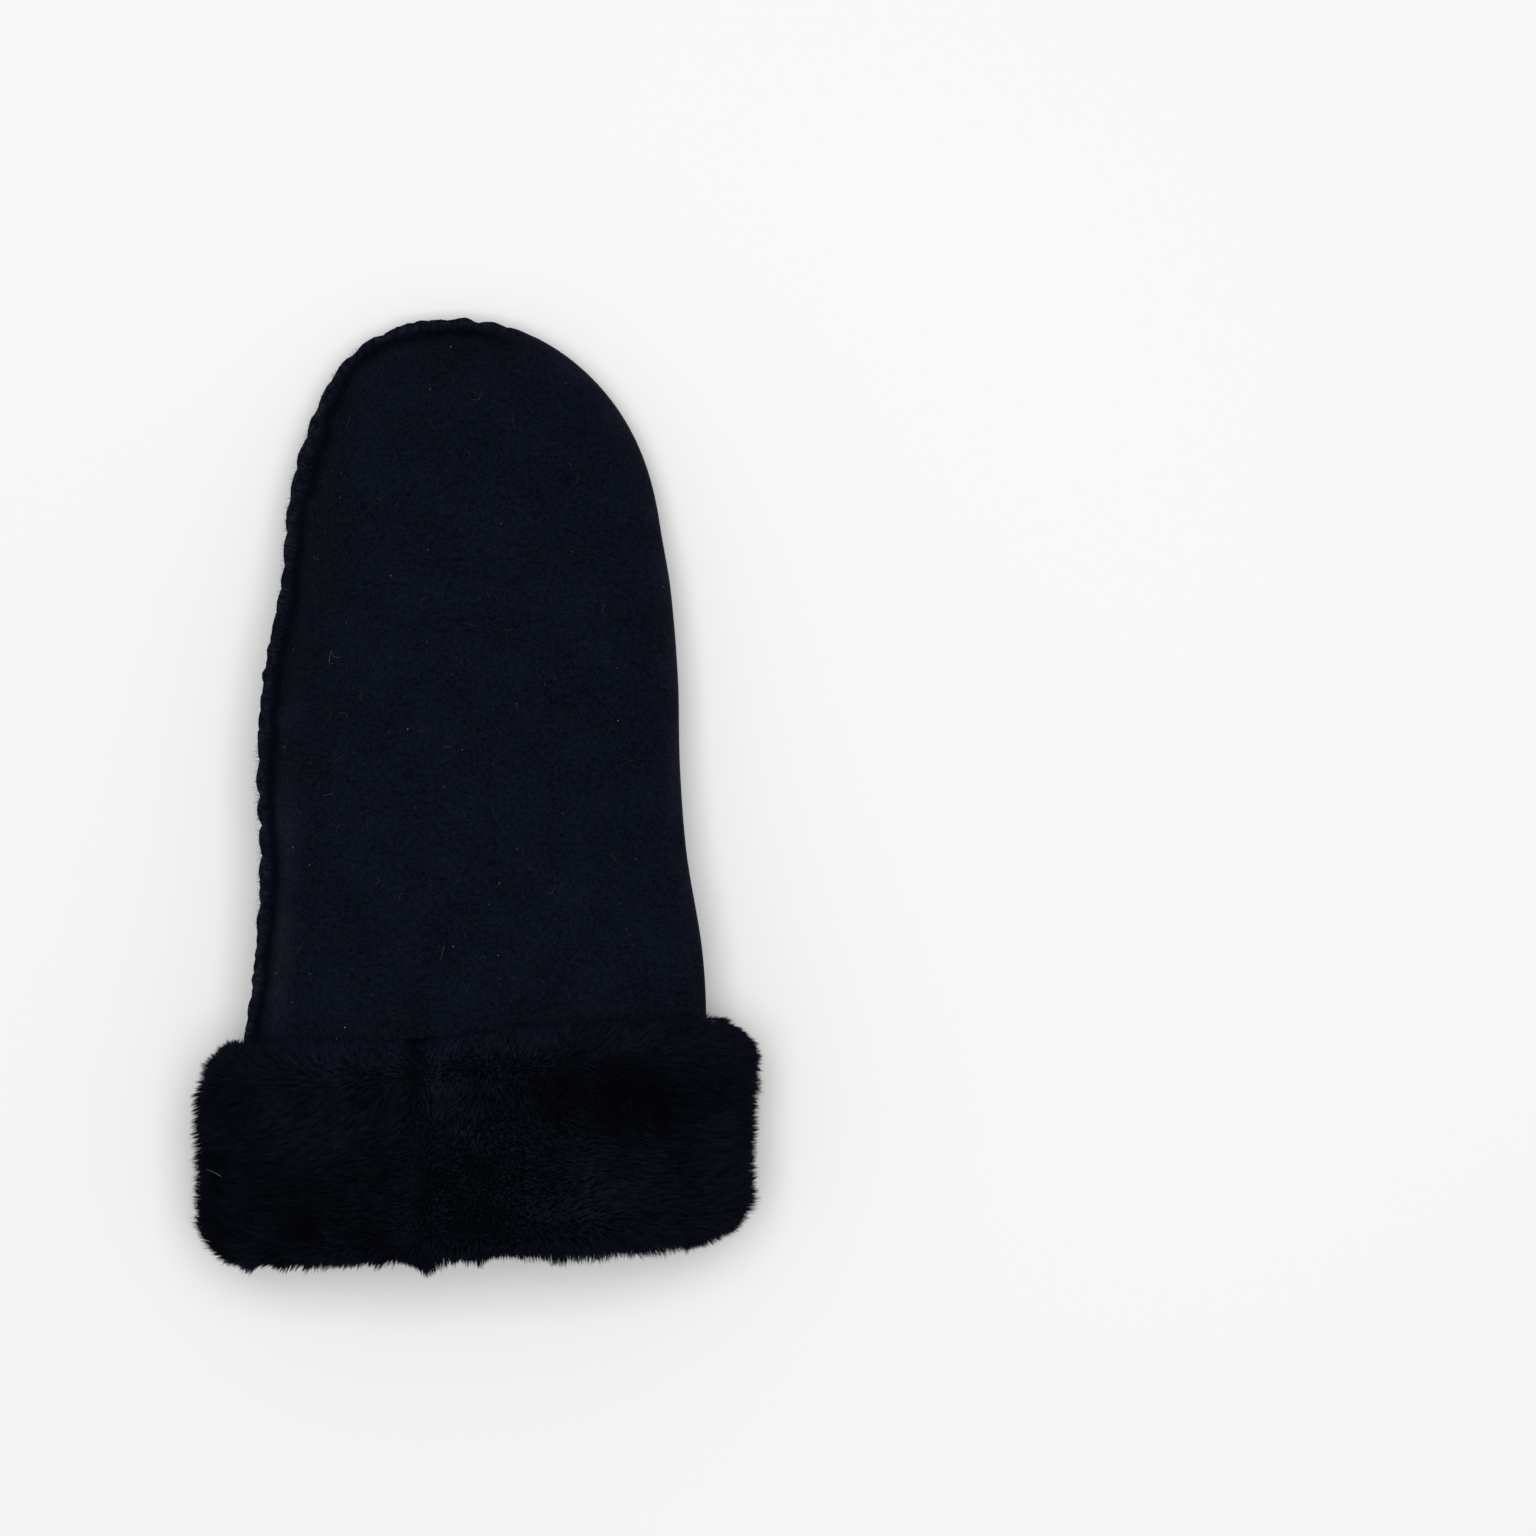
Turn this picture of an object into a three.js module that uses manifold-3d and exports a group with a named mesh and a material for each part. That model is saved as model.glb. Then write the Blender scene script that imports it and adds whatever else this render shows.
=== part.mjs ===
// A sheepskin mitten for the right hand, lying on a table with its back up.
//
// The hand is one skin folded round its little-finger edge. Its two cut edges meet in a raised,
// ruffled seam that runs up the other edge and over the fingertips. The thumb is set into an oval
// hole in the palm and lies folded flat underneath. The cuff is a strip of pelt, turned back over
// the wrist with its fur outside, and its pile goes round the mouth and a little way in.
//
// Millimetres. +X points to the little finger, +Y to the fingertips, +Z up off the table.
import * as THREE from "three";
import { mergeVertices } from "three/addons/utils/BufferGeometryUtils.js";
import Module from "manifold-3d";

const wasm = await Module();
wasm.setup();

// The hand
const HAND_LENGTH = 254; // from the mouth of the skin to the fingertips
const PALM_WIDTH = 119; // across the palm, lying flat
const HAND_DEPTH = 26; // the unit of puff that the sections share out
const TIP_ROUND = 60; // length of the rounded end over the fingers
const TIP_LEAN = 6; // how far the middle of the rounded end lies to the thumb's side
const TIP_SQUARE = 2.25; // 2 gives an ellipse, more gives squarer shoulders
const EDGE_DROOP = 7; // how much lower the folded edge hangs than the sewn one
const MOUTH_SLANT = 3.6; // degrees that the wrist and the cuff are turned from square
const SLANT_FADE_LENGTH = 99; // above the cuff, that turn fades out over this length
const BACK_ROUND = 2.3; // roundness of the back's cross section, 2 for an ellipse
const PALM_ROUND = 3; // the same for the palm, which is flatter
const SKIN = 3; // sheepskin with its pile pressed flat

// The seam
const LIP_WIDTH = 3.2; // how far the sewn edges stand out
const LIP_HALF = 2.1; // half the thickness of the two edges together
const LIP_GROOVE = 1.3; // depth of the groove between them
const WAVE_PITCH = 7.5; // length of one ruffle
const WAVE_DEPTH = 0.8; // how far a ruffle stands out
const SEAM_START = 59; // distance above the mouth where the seam stands out in full
const SEAM_END = 66; // degrees round the tip, from the folded side, where the seam ends
const SEAM_FADE = 7; // length over which the seam gives way to the fold

// The thumb
const THUMB_LENGTH = 68; // between the centres of its round ends
const THUMB_HEEL = 22; // radius of its base
const THUMB_TIP = 16.5; // radius of its tip
const THUMB_DEPTH = 13; // thickness, pressed flat
const THUMB_LEAN = 13; // degrees that it leans out from the hand's length
const THUMB_SKIN = 2.6;
const THUMB_HOLE_LENGTH = 40;
const THUMB_HOLE_WIDTH = 27;
const THUMB_HOLE_EASE = 0.8; // the palm's hole is this much larger all round than the thumb's
const THUMB_ROOT = { across: -0.17, along: 0.345 }; // base centre, in shares of width and length

// The fur cuff
const CUFF_HEIGHT = 51; // from the mouth's edge to the strip's cut edge
const CUFF_TURN_IN = 20; // how far the strip goes inside
const PELT = 1.5; // thickness of the strip's leather
const FUR_OUTSIDE = 11; // depth of the fur on the outside
const FUR_MOUTH = 5.5; // round the mouth
const FUR_INSIDE = 1.6; // inside, where the hand presses it down
const FUR_EDGE = 4; // over the cut edge
const FUR_SHOULDER = 16; // length over which the fur rises to its full depth from there
const FUR_HEM_LENGTH = 3; // and over which it starts to turn in towards the mouth
const LOCK_RELIEF = 2.2; // how far the locks stand out of the fur
const LOCK_LENGTH = 7; // from one row of locks to the next
const LOCK_WIDTH = 5.5; // how wide a lock is, about
const PARTING_DEPTH = 3; // the fur's parting over the join of the strip's ends
const PARTING_WIDTH = 4;
const PARTING = { across: -0.15, lean: 0.11 }; // place at the mouth, and how much it leans over

// Clearances
const SEAT = 0.3; // between pieces that touch
const CUFF_EASE = 0.4; // between the cuff's strip and the hand

// Shares of the named sizes: left and right of PALM_WIDTH, from the middle line to each edge; sole
// of the palm's height above the table; down and up of HAND_DEPTH, from the edge's height to the
// palm and to the back; droop of EDGE_DROOP. along is a share of HAND_LENGTH.
const SECTIONS = [
  { along: 0.0, left: 0.526, right: 0.548, sole: 0.7, down: 0.5, up: 0.52, droop: 0.0 },
  { along: 0.21, left: 0.528, right: 0.556, sole: 0.86, down: 0.44, up: 0.52, droop: 0.1 },
  { along: 0.29, left: 0.503, right: 0.546, sole: 0.97, down: 0.4, up: 0.57, droop: 0.4 },
  { along: 0.4, left: 0.486, right: 0.51, sole: 1.0, down: 0.36, up: 0.61, droop: 0.8 },
  { along: 0.5, left: 0.494, right: 0.494, sole: 1.0, down: 0.33, up: 0.63, droop: 1.0 },
  { along: 0.6, left: 0.477, right: 0.489, sole: 0.95, down: 0.3, up: 0.63, droop: 1.0 },
  { along: 0.7, left: 0.441, right: 0.471, sole: 0.82, down: 0.27, up: 0.61, droop: 0.9 },
  { along: 0.77, left: 0.432, right: 0.446, sole: 0.61, down: 0.25, up: 0.59, droop: 0.8 },
  { along: 0.9, left: 0.414, right: 0.41, sole: 0.24, down: 0.24, up: 0.55, droop: 0.5 },
  { along: 1.0, left: 0.44, right: 0.37, sole: 0.04, down: 0.24, up: 0.5, droop: 0.3 },
];

const RINGS = 7; // facets from the edge to the middle of the back, and of the palm
const HALF_TURN = Math.PI / 2;
const PALM_LIFT = THUMB_DEPTH + SEAT;
const TIP_CENTRE = HAND_LENGTH - TIP_ROUND;
const ALL_ROUND = 360;

// The row of a table at a place along it, each column on a smooth cubic through the rows.
function rowAt(table, along) {
  const at = THREE.MathUtils.clamp(along, table[0].along, table.at(-1).along);
  const k = Math.max(1, table.findIndex((row) => row.along >= at));
  const [a, b] = [table[k - 1], table[k]];
  const [before, after] = [table[k - 2] ?? a, table[k + 1] ?? b];
  const span = b.along - a.along;
  const t = (at - a.along) / span;
  const [t2, t3] = [t * t, t * t * t];
  const row = {};
  for (const name of Object.keys(a)) {
    const slopeA = (span * (b[name] - before[name])) / (b.along - before.along);
    const slopeB = (span * (after[name] - a[name])) / (after.along - a.along);
    row[name] = (2 * t3 - 3 * t2 + 1) * a[name] + (t3 - 2 * t2 + t) * slopeA;
    row[name] += (3 * t2 - 2 * t3) * b[name] + (t3 - t2) * slopeB;
  }
  return row;
}

// The hand's sizes at a distance from the mouth.
function handAt(y) {
  const row = rowAt(SECTIONS, y / HAND_LENGTH);
  const down = row.down * HAND_DEPTH;
  return {
    left: row.left * PALM_WIDTH,
    right: row.right * PALM_WIDTH,
    down,
    up: row.up * HAND_DEPTH,
    edge: row.sole * PALM_LIFT + down,
    droop: (row.droop * EDGE_DROOP) / PALM_WIDTH,
    middle: (-TIP_LEAN * THREE.MathUtils.clamp(y, 0, TIP_CENTRE)) / TIP_CENTRE,
  };
}

// Height of the sheet that runs through the hand's edges, at a place on the table.
function edgeHeight(x, y) {
  const hand = handAt(y);
  return hand.edge - hand.droop * x;
}

// The wrist's slant: a shear along the hand that fades out above the cuff.
function slanted(point) {
  const end = CUFF_HEIGHT + SLANT_FADE_LENGTH;
  const fade = 1 - THREE.MathUtils.smoothstep(point.y, CUFF_HEIGHT, end);
  point.y += point.x * Math.tan(THREE.MathUtils.degToRad(MOUTH_SLANT)) * fade;
  return point;
}

// A superellipse's quarter, from the edge at angle 0 to the middle at a quarter turn: how far in
// and how high, as shares.
function quarter(angle, roundness) {
  const power = 2 / roundness;
  return { out: Math.cos(angle) ** power, high: Math.sin(angle) ** power };
}

// Evenly spaced values from a to b, both included, about a step apart.
function steps(a, b, step) {
  const count = Math.max(1, Math.round(Math.abs(b - a) / step));
  return Array.from({ length: count + 1 }, (_, i) => a + ((b - a) * i) / count);
}

// A closed skin over rows of points: each row is joined to the next, and the last to the first.
// A row runs from the middle of the back, round the edge, to the middle of the palm, or is itself
// a closed ring.
function skinOver(rows, rowCloses = false) {
  const length = rows[0].length;
  const points = [];
  rows.forEach((row, i) => {
    const next = rows[(i + 1) % rows.length];
    for (let k = 0; k < length - (rowCloses ? 0 : 1); k++) {
      const after = (k + 1) % length;
      points.push(row[k], next[k], next[after]);
      points.push(row[k], next[after], row[after]);
    }
  });
  return new THREE.BufferGeometry().setFromPoints(points);
}

// A geometry as a solid, for cutting and joining.
function solid(geometry) {
  const bare = new THREE.BufferGeometry();
  const source = geometry.index ? geometry.toNonIndexed() : geometry;
  bare.setAttribute("position", source.getAttribute("position"));
  const merged = mergeVertices(bare, 1e-4);
  const corners = merged.index.array;
  const kept = [];
  for (let i = 0; i < corners.length; i += 3) {
    const [a, b, c] = corners.slice(i, i + 3);
    if (a !== b && b !== c && c !== a) kept.push(a, b, c);
  }
  const mesh = new wasm.Mesh({
    numProp: 3,
    vertProperties: merged.getAttribute("position").array,
    triVerts: new Uint32Array(kept),
  });
  return new wasm.Manifold(mesh);
}

// A solid as a named mesh in its own material.
function named(name, made, material) {
  const { numProp, vertProperties, triVerts } = made.getMesh();
  const points = [];
  for (const corner of triVerts) {
    points.push(new THREE.Vector3().fromArray(vertProperties, corner * numProp));
  }
  const geometry = new THREE.BufferGeometry().setFromPoints(points);
  geometry.computeVertexNormals();
  const mesh = new THREE.Mesh(geometry, material);
  mesh.name = name;
  return mesh;
}

// The block of table under the part: what rests there is flattened against it.
function table() {
  const reach = 2 * HAND_LENGTH;
  return solid(new THREE.BoxGeometry(reach, 2 * reach, reach).translate(0, 0, -reach / 2));
}

// How far a lip of the seam stands out at a station: out and in by turns, never twice the same.
function ruffle(count) {
  const size = 0.75 + 0.25 * Math.sin(1.7 * count);
  return WAVE_DEPTH * size * (count % 2 ? 1 : -0.4);
}

// The stations round the hand's outline, from the mouth up the seam, round the tip and down the
// fold. Each has its place on the edge, the place on the middle line that it looks to, and how
// much of a seam the edge is there: 1 on the seam, 0 on the fold.
function handStations(from, step) {
  const stations = [];
  const add = (x, y, seam) => {
    const hand = handAt(y);
    const middle = new THREE.Vector2(hand.middle, Math.min(y, TIP_CENTRE));
    stations.push({ edge: new THREE.Vector2(x, y), middle, seam });
  };
  const bare = SEAM_START - SEAM_FADE;
  const sides = [...steps(from, bare, 3 * step), ...steps(bare, TIP_CENTRE, step).slice(1)];
  for (const y of sides) {
    add(-handAt(y).left, y, THREE.MathUtils.smoothstep(y, bare, SEAM_START));
  }
  const around = Math.PI * Math.sqrt(TIP_ROUND * PALM_WIDTH * 0.45);
  const end = THREE.MathUtils.degToRad(SEAM_END);
  const fade = (Math.PI * SEAM_FADE) / around;
  for (const turn of steps(Math.PI, 0, (Math.PI * step) / around).slice(1, -1)) {
    const { out, high } = quarter(Math.min(turn, Math.PI - turn), TIP_SQUARE);
    const y = TIP_CENTRE + TIP_ROUND * high;
    const hand = handAt(y);
    const side = turn > HALF_TURN ? -hand.left : hand.right;
    const x = hand.middle + (side - hand.middle) * out;
    add(x, y, THREE.MathUtils.smoothstep(turn, end - fade, end));
  }
  for (const y of sides.reverse()) add(handAt(y).right, y, 0);
  return stations;
}

// The hand's surface over its stations, as a closed skin. inset draws the whole surface in by a
// wall, and takes the seam's lips away with it.
function handSkin(stations, inset) {
  return skinOver(stations.map((station, i) => sectionRow(station, inset, i)));
}

// One row of the hand's surface: from the middle of the back out to the edge and in under the palm.
function sectionRow(station, inset, count) {
  const { edge, middle, seam } = station;
  const outward = edge.clone().sub(middle);
  const half = outward.length();
  outward.normalize();
  const hand = handAt(middle.y);
  const lip = LIP_WIDTH * seam;
  const place = (inwards, height) => {
    const x = edge.x - outward.x * inwards;
    const y = edge.y - outward.y * inwards;
    return slanted(new THREE.Vector3(x, y, edgeHeight(x, y) + height));
  };
  const side = (rise, roundness, phase) =>
    Array.from({ length: RINGS }, (_, i) => {
      const ring = i + 1;
      const fold = quarter((ring / RINGS) * HALF_TURN, roundness);
      const folded = {
        inwards: inset + (half - inset) * (1 - fold.out),
        height: (rise - inset) * fold.high,
      };
      if (seam === 0) return folded;
      const wave = ruffle(count + phase) * seam;
      const puff = quarter((Math.max(0, ring - 2) / (RINGS - 2)) * HALF_TURN, roundness);
      const start = inset + LIP_WIDTH;
      const foot = inset > 0 ? 0 : LIP_HALF;
      const sewn = {
        inwards: start + (half - start) * (1 - puff.out),
        height: foot + (rise - inset - foot) * puff.high,
      };
      if (ring === 1 && inset === 0) sewn.inwards = -wave;
      if (ring === 1 && inset > 0) Object.assign(sewn, { inwards: start, height: 0.5 * SKIN });
      return {
        inwards: THREE.MathUtils.lerp(folded.inwards, sewn.inwards, seam),
        height: THREE.MathUtils.lerp(folded.height, sewn.height, seam),
      };
    });
  const back = side(hand.up, BACK_ROUND, 0);
  const palm = side(hand.down, PALM_ROUND, 1);
  const rim = inset > 0 ? inset + lip : LIP_GROOVE * seam;
  return [
    ...back.reverse().map((ring) => place(ring.inwards, ring.height)),
    place(rim, 0),
    ...palm.map((ring) => place(ring.inwards, -ring.height)),
  ];
}

// The middle line of the thumb: a share of the way from its base to its tip, and off to a side.
function thumbPlace(share, aside = 0) {
  const lean = THREE.MathUtils.degToRad(THUMB_LEAN);
  const [ahead, across] = [share * THUMB_LENGTH, aside];
  return new THREE.Vector2(
    THUMB_ROOT.across * PALM_WIDTH - Math.sin(lean) * ahead + Math.cos(lean) * across,
    THUMB_ROOT.along * HAND_LENGTH + Math.cos(lean) * ahead + Math.sin(lean) * across,
  );
}

// The thumb's surface: a flat teardrop, thicker than its place, which the palm then presses.
function thumbSkin(inset) {
  const stations = [];
  const add = (share, degrees) => {
    const radius = THREE.MathUtils.lerp(THUMB_HEEL, THUMB_TIP, share) - inset;
    const angle = THREE.MathUtils.degToRad(degrees);
    const centre = thumbPlace(share);
    const ahead = (radius * Math.sin(angle)) / THUMB_LENGTH;
    stations.push({ centre, edge: thumbPlace(share + ahead, radius * Math.cos(angle)) });
  };
  const shares = steps(0, 1, 0.2);
  for (const share of shares) add(share, 0);
  for (const degrees of steps(0, 180, 18).slice(1, -1)) add(1, degrees);
  for (const share of [...shares].reverse()) add(share, 180);
  for (const degrees of steps(180, ALL_ROUND, 18).slice(1, -1)) add(0, degrees);
  const middle = THUMB_DEPTH / 2;
  const rings = 5;
  const rows = stations.map(({ centre, edge }) => {
    const ring = (i, rise) => {
      const { out, high } = quarter((i / rings) * HALF_TURN, PALM_ROUND);
      const at = centre.clone().lerp(edge, out);
      return slanted(new THREE.Vector3(at.x, at.y, middle + rise * high));
    };
    const back = Array.from({ length: rings }, (_, i) => ring(rings - i, middle + SKIN - inset));
    const palm = Array.from({ length: rings + 1 }, (_, i) => ring(i, -(middle + SEAT - inset)));
    return [...back, ...palm];
  });
  return skinOver(rows.reverse());
}

// A drill for the thumb's hole: an oval post between two heights.
function thumbHole(grow, low, high) {
  const post = new THREE.CylinderGeometry(1, 1, high - low, 24).rotateX(HALF_TURN);
  post.scale(THUMB_HOLE_WIDTH / 2 + grow, THUMB_HOLE_LENGTH / 2 + grow, 1);
  post.rotateZ(THREE.MathUtils.degToRad(THUMB_LEAN));
  const centre = slanted(new THREE.Vector3(...thumbPlace(0).toArray(), (low + high) / 2));
  return solid(post.translate(centre.x, centre.y, centre.z));
}

// The fur cuff's surface. Each row is a closed ring of the strip's section, from its cut edge
// over the outside, round the mouth, inside, and back between the layers. grow is the distance
// outside the hand's own surface.
function cuffSection() {
  const leather = CUFF_EASE + PELT;
  const inner = -SKIN - CUFF_EASE;
  const fold = (leather - inner + PELT) / 2;
  const core = leather - fold;
  const ring = [];
  const add = (y, grow, lock) => ring.push({ y, grow, lock });
  const top = CUFF_HEIGHT + FUR_EDGE;
  for (const angle of steps(0, HALF_TURN, HALF_TURN / 4)) {
    const depth = FUR_OUTSIDE * Math.sin(angle);
    add(top - FUR_SHOULDER * (1 - Math.cos(angle)), leather + depth, Math.sin(angle));
  }
  const mouth = -CUFF_EASE;
  for (const y of steps(top - FUR_SHOULDER, mouth + FUR_HEM_LENGTH, LOCK_LENGTH / 2).slice(1)) {
    add(y, leather + FUR_OUTSIDE, 1);
  }
  for (const angle of steps(0, Math.PI, Math.PI / 8).slice(1)) {
    const side = (1 + Math.cos(angle)) / 2;
    const outside = THREE.MathUtils.lerp(FUR_INSIDE, FUR_OUTSIDE, side ** 0.7);
    const reach = THREE.MathUtils.lerp(outside, FUR_MOUTH, Math.sin(angle) ** 2);
    const out = (fold + reach) * Math.cos(angle);
    const hem = angle < HALF_TURN ? FUR_HEM_LENGTH * (1 - Math.sin(angle)) : 0;
    add(mouth + hem - (fold + reach) * Math.sin(angle), core + out, side);
  }
  const inside = inner - PELT - FUR_INSIDE;
  for (const y of steps(mouth, CUFF_TURN_IN, LOCK_LENGTH).slice(1)) add(y, inside, 0);
  add(CUFF_TURN_IN, inner, 0);
  add(mouth, inner, 0);
  add(mouth, CUFF_EASE, 0);
  for (const y of steps(mouth, CUFF_HEIGHT, 2 * LOCK_LENGTH).slice(1)) add(y, CUFF_EASE, 0);
  return ring;
}

// A corner of the hand's own section, drawn outwards by grow. The corners are counted from the
// sewn edge over the back to the fold, and back under the palm.
function handCorner(y, count, grow) {
  const hand = handAt(y);
  const quarters = Math.floor(count / RINGS) % 4;
  const into = ((count % RINGS) / RINGS) * HALF_TURN;
  const onBack = quarters < 2;
  const onFold = quarters === 1 || quarters === 2;
  const angle = quarters % 2 ? HALF_TURN - into : into;
  const { out, high } = quarter(angle, onBack ? BACK_ROUND : PALM_ROUND);
  const half = (onFold ? hand.right - hand.middle : hand.left + hand.middle) + grow;
  const rise = (onBack ? hand.up : hand.down) + grow;
  const x = hand.middle + (onFold ? half : -half) * out;
  return new THREE.Vector3(x, y, edgeHeight(x, y) + (onBack ? rise : -rise) * high);
}

// The turns round the cuff at which its locks lie: each facet of the hand is shared out among
// locks of about the same width.
function lockTurns() {
  const turns = [];
  for (let facet = 0; facet < 4 * RINGS; facet++) {
    const from = handCorner(0, facet, FUR_OUTSIDE);
    const width = from.distanceTo(handCorner(0, facet + 1, FUR_OUTSIDE));
    for (const share of steps(0, 1, LOCK_WIDTH / width).slice(0, -1)) turns.push({ facet, share });
  }
  return turns;
}

// How deep the parting is at a place on the cuff's back.
function parting(x, y) {
  const off = (x - PARTING.across * PALM_WIDTH - PARTING.lean * y) / PARTING_WIDTH;
  return PARTING_DEPTH * Math.exp(-off * off);
}

function cuffSkin() {
  const section = cuffSection();
  const rows = lockTurns().map(({ facet, share }, count) =>
    section.map(({ y, grow, lock }, k) => {
      const high = (count + k) % 2 ? 1 : -1;
      const from = handCorner(y, facet, grow);
      const at = from.lerp(handCorner(y, facet + 1, grow), share);
      const parted = facet < 2 * RINGS ? parting(at.x, y) : 0;
      const relief = lock * ((high * LOCK_RELIEF) / 2 - parted);
      if (lock === 0) return slanted(at);
      const raised = handCorner(y, facet, grow + relief);
      raised.lerp(handCorner(y, facet + 1, grow + relief), share);
      if (y > CUFF_HEIGHT) raised.y += (high * LOCK_RELIEF) / 2;
      return slanted(raised);
    }),
  );
  return skinOver(rows.reverse(), true);
}

function handBody(outside) {
  const cavity = solid(handSkin(handStations(-3 * SKIN, 3 * WAVE_PITCH), SKIN));
  const { edge } = handAt(THUMB_ROOT.along * HAND_LENGTH);
  return outside.subtract(cavity).subtract(thumbHole(THUMB_HOLE_EASE, 0, edge)).subtract(table());
}

// The hand's outer surface, moved down: what the thumb is pressed against.
function palmAbove(skin, drop) {
  return solid(skin.clone().translate(0, 0, -drop));
}

function thumb(skin) {
  const outside = solid(thumbSkin(0)).subtract(palmAbove(skin, SEAT));
  const cavity = solid(thumbSkin(THUMB_SKIN)).subtract(palmAbove(skin, SEAT + THUMB_SKIN));
  const hole = thumbHole(0, THUMB_DEPTH / 2, 2 * THUMB_DEPTH);
  return outside.subtract(cavity).subtract(hole).subtract(table());
}

function furCuff() {
  return solid(cuffSkin()).subtract(table());
}

const suede = new THREE.MeshStandardMaterial({ color: 0x0c101a, roughness: 0.95, metalness: 0 });
const fur = new THREE.MeshStandardMaterial({ color: 0x080a12, roughness: 0.8, metalness: 0 });

const handSurface = handSkin(handStations(0, WAVE_PITCH / 2), 0);
const mitten = new THREE.Group();
mitten.name = "mitten";
mitten.add(named("hand_body", handBody(solid(handSurface)), suede));
mitten.add(named("thumb", thumb(handSurface), suede));
mitten.add(named("fur_cuff", furCuff(), fur));

// The origin is on the table, under the middle of the whole mitten.
const box = new THREE.Box3().setFromObject(mitten);
const middle = box.getCenter(new THREE.Vector3());
mitten.position.set(-middle.x, -middle.y, -box.min.z);

export default mitten;
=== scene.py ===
# %% [markdown]
# # A sheepskin mitten with a fur cuff
# The mitten is one skin folded along the little-finger edge, so only the thumb's side and the
# fingertips have a seam. Its suede is almost black, its cuff is a strip of deep fur, and a second
# skin makes the thumb, which lies folded under the palm. Every shape here is worked out with
# numpy from a few real sizes, so a maker can change a size and see the whole mitten follow.

import math

import bpy
import numpy as np
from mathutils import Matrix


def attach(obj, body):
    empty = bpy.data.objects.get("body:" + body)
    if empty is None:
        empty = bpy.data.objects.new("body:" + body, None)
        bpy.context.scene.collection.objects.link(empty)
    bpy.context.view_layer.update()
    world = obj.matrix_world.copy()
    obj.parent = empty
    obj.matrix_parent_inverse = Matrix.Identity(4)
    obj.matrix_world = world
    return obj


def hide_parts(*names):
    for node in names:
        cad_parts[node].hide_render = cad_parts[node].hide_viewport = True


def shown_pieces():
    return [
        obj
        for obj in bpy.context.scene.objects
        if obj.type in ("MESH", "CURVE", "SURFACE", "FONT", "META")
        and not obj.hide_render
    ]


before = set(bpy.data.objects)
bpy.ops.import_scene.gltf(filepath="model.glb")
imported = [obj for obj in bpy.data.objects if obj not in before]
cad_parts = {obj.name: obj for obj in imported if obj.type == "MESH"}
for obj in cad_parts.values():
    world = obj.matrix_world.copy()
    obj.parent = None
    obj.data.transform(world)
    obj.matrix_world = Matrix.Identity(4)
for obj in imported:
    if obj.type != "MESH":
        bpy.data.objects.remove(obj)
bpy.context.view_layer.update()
print("nodes:", sorted(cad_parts))

# %% [markdown]
# ## Sizes
# All lengths are millimetres, measured as on the real mitten: x runs to the little finger, y to
# the fingertips and z up from the table. The hand's sections are a short table, because a mitten
# is drawn by its pattern and not by a formula: each row gives the skin's reach to the left and
# right of the middle line, how high its palm lies, and how far it puffs down and up.

# %% The hand's sizes
HAND_LENGTH = 254.0
PALM_WIDTH = 119.0
HAND_DEPTH = 26.0
TIP_ROUND = 60.0
TIP_LEAN = 6.0
TIP_SQUARE = 2.25
EDGE_DROOP = 7.0
PALM_LIFT = 13.3
SKIN = 3.0
BACK_ROUND = 2.3
PALM_ROUND = 3.0
TIP_CENTRE = HAND_LENGTH - TIP_ROUND
ORIGIN = np.array([1.4945, 120.8001, 0.0])
MM = 0.001

#        along  left   right  sole  down  up    droop
SECTIONS = np.array(
    [
        [0.00, 0.526, 0.548, 0.70, 0.50, 0.52, 0.0],
        [0.21, 0.528, 0.556, 0.86, 0.44, 0.52, 0.1],
        [0.29, 0.503, 0.546, 0.97, 0.40, 0.57, 0.4],
        [0.40, 0.486, 0.510, 1.00, 0.36, 0.61, 0.8],
        [0.50, 0.494, 0.494, 1.00, 0.33, 0.63, 1.0],
        [0.60, 0.477, 0.489, 0.95, 0.30, 0.63, 1.0],
        [0.70, 0.441, 0.471, 0.82, 0.27, 0.61, 0.9],
        [0.77, 0.432, 0.446, 0.61, 0.25, 0.59, 0.8],
        [0.90, 0.414, 0.410, 0.24, 0.24, 0.55, 0.5],
        [1.00, 0.440, 0.370, 0.04, 0.24, 0.50, 0.3],
    ]
)
print("rows in the pattern:", len(SECTIONS))

# %% [markdown]
# ## Reading the pattern
# Between two rows the skin bends smoothly, so each column is read with a cubic whose slope at a
# row is the slope between that row's neighbours. Straight lines would leave a crease at each row.


# %% Read the pattern smoothly
def pattern_at(share):
    """Each column at shares of the hand's length: a cubic between two rows, whose slope at each
    row is the rise between its two neighbours over their distance."""
    along = SECTIONS[:, 0]
    rows = SECTIONS[:, 1:]
    gaps = np.diff(along)
    slopes = np.empty_like(rows)
    slopes[1:-1] = (rows[2:] - rows[:-2]) / (along[2:] - along[:-2])[:, None]
    slopes[0] = (rows[1] - rows[0]) / gaps[0]
    slopes[-1] = (rows[-1] - rows[-2]) / gaps[-1]
    share = np.clip(np.asarray(share, float), 0.0, 1.0)
    k = np.clip(np.searchsorted(along, share) - 1, 0, len(along) - 2)
    t = ((share - along[k]) / gaps[k])[..., None]
    span = gaps[k][..., None]
    start = (2 * t**3 - 3 * t**2 + 1) * rows[k] + (t**3 - 2 * t**2 + t) * span * slopes[k]
    end = (3 * t**2 - 2 * t**3) * rows[k + 1] + (t**3 - t**2) * span * slopes[k + 1]
    return np.moveaxis(start + end, -1, 0)


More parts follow.
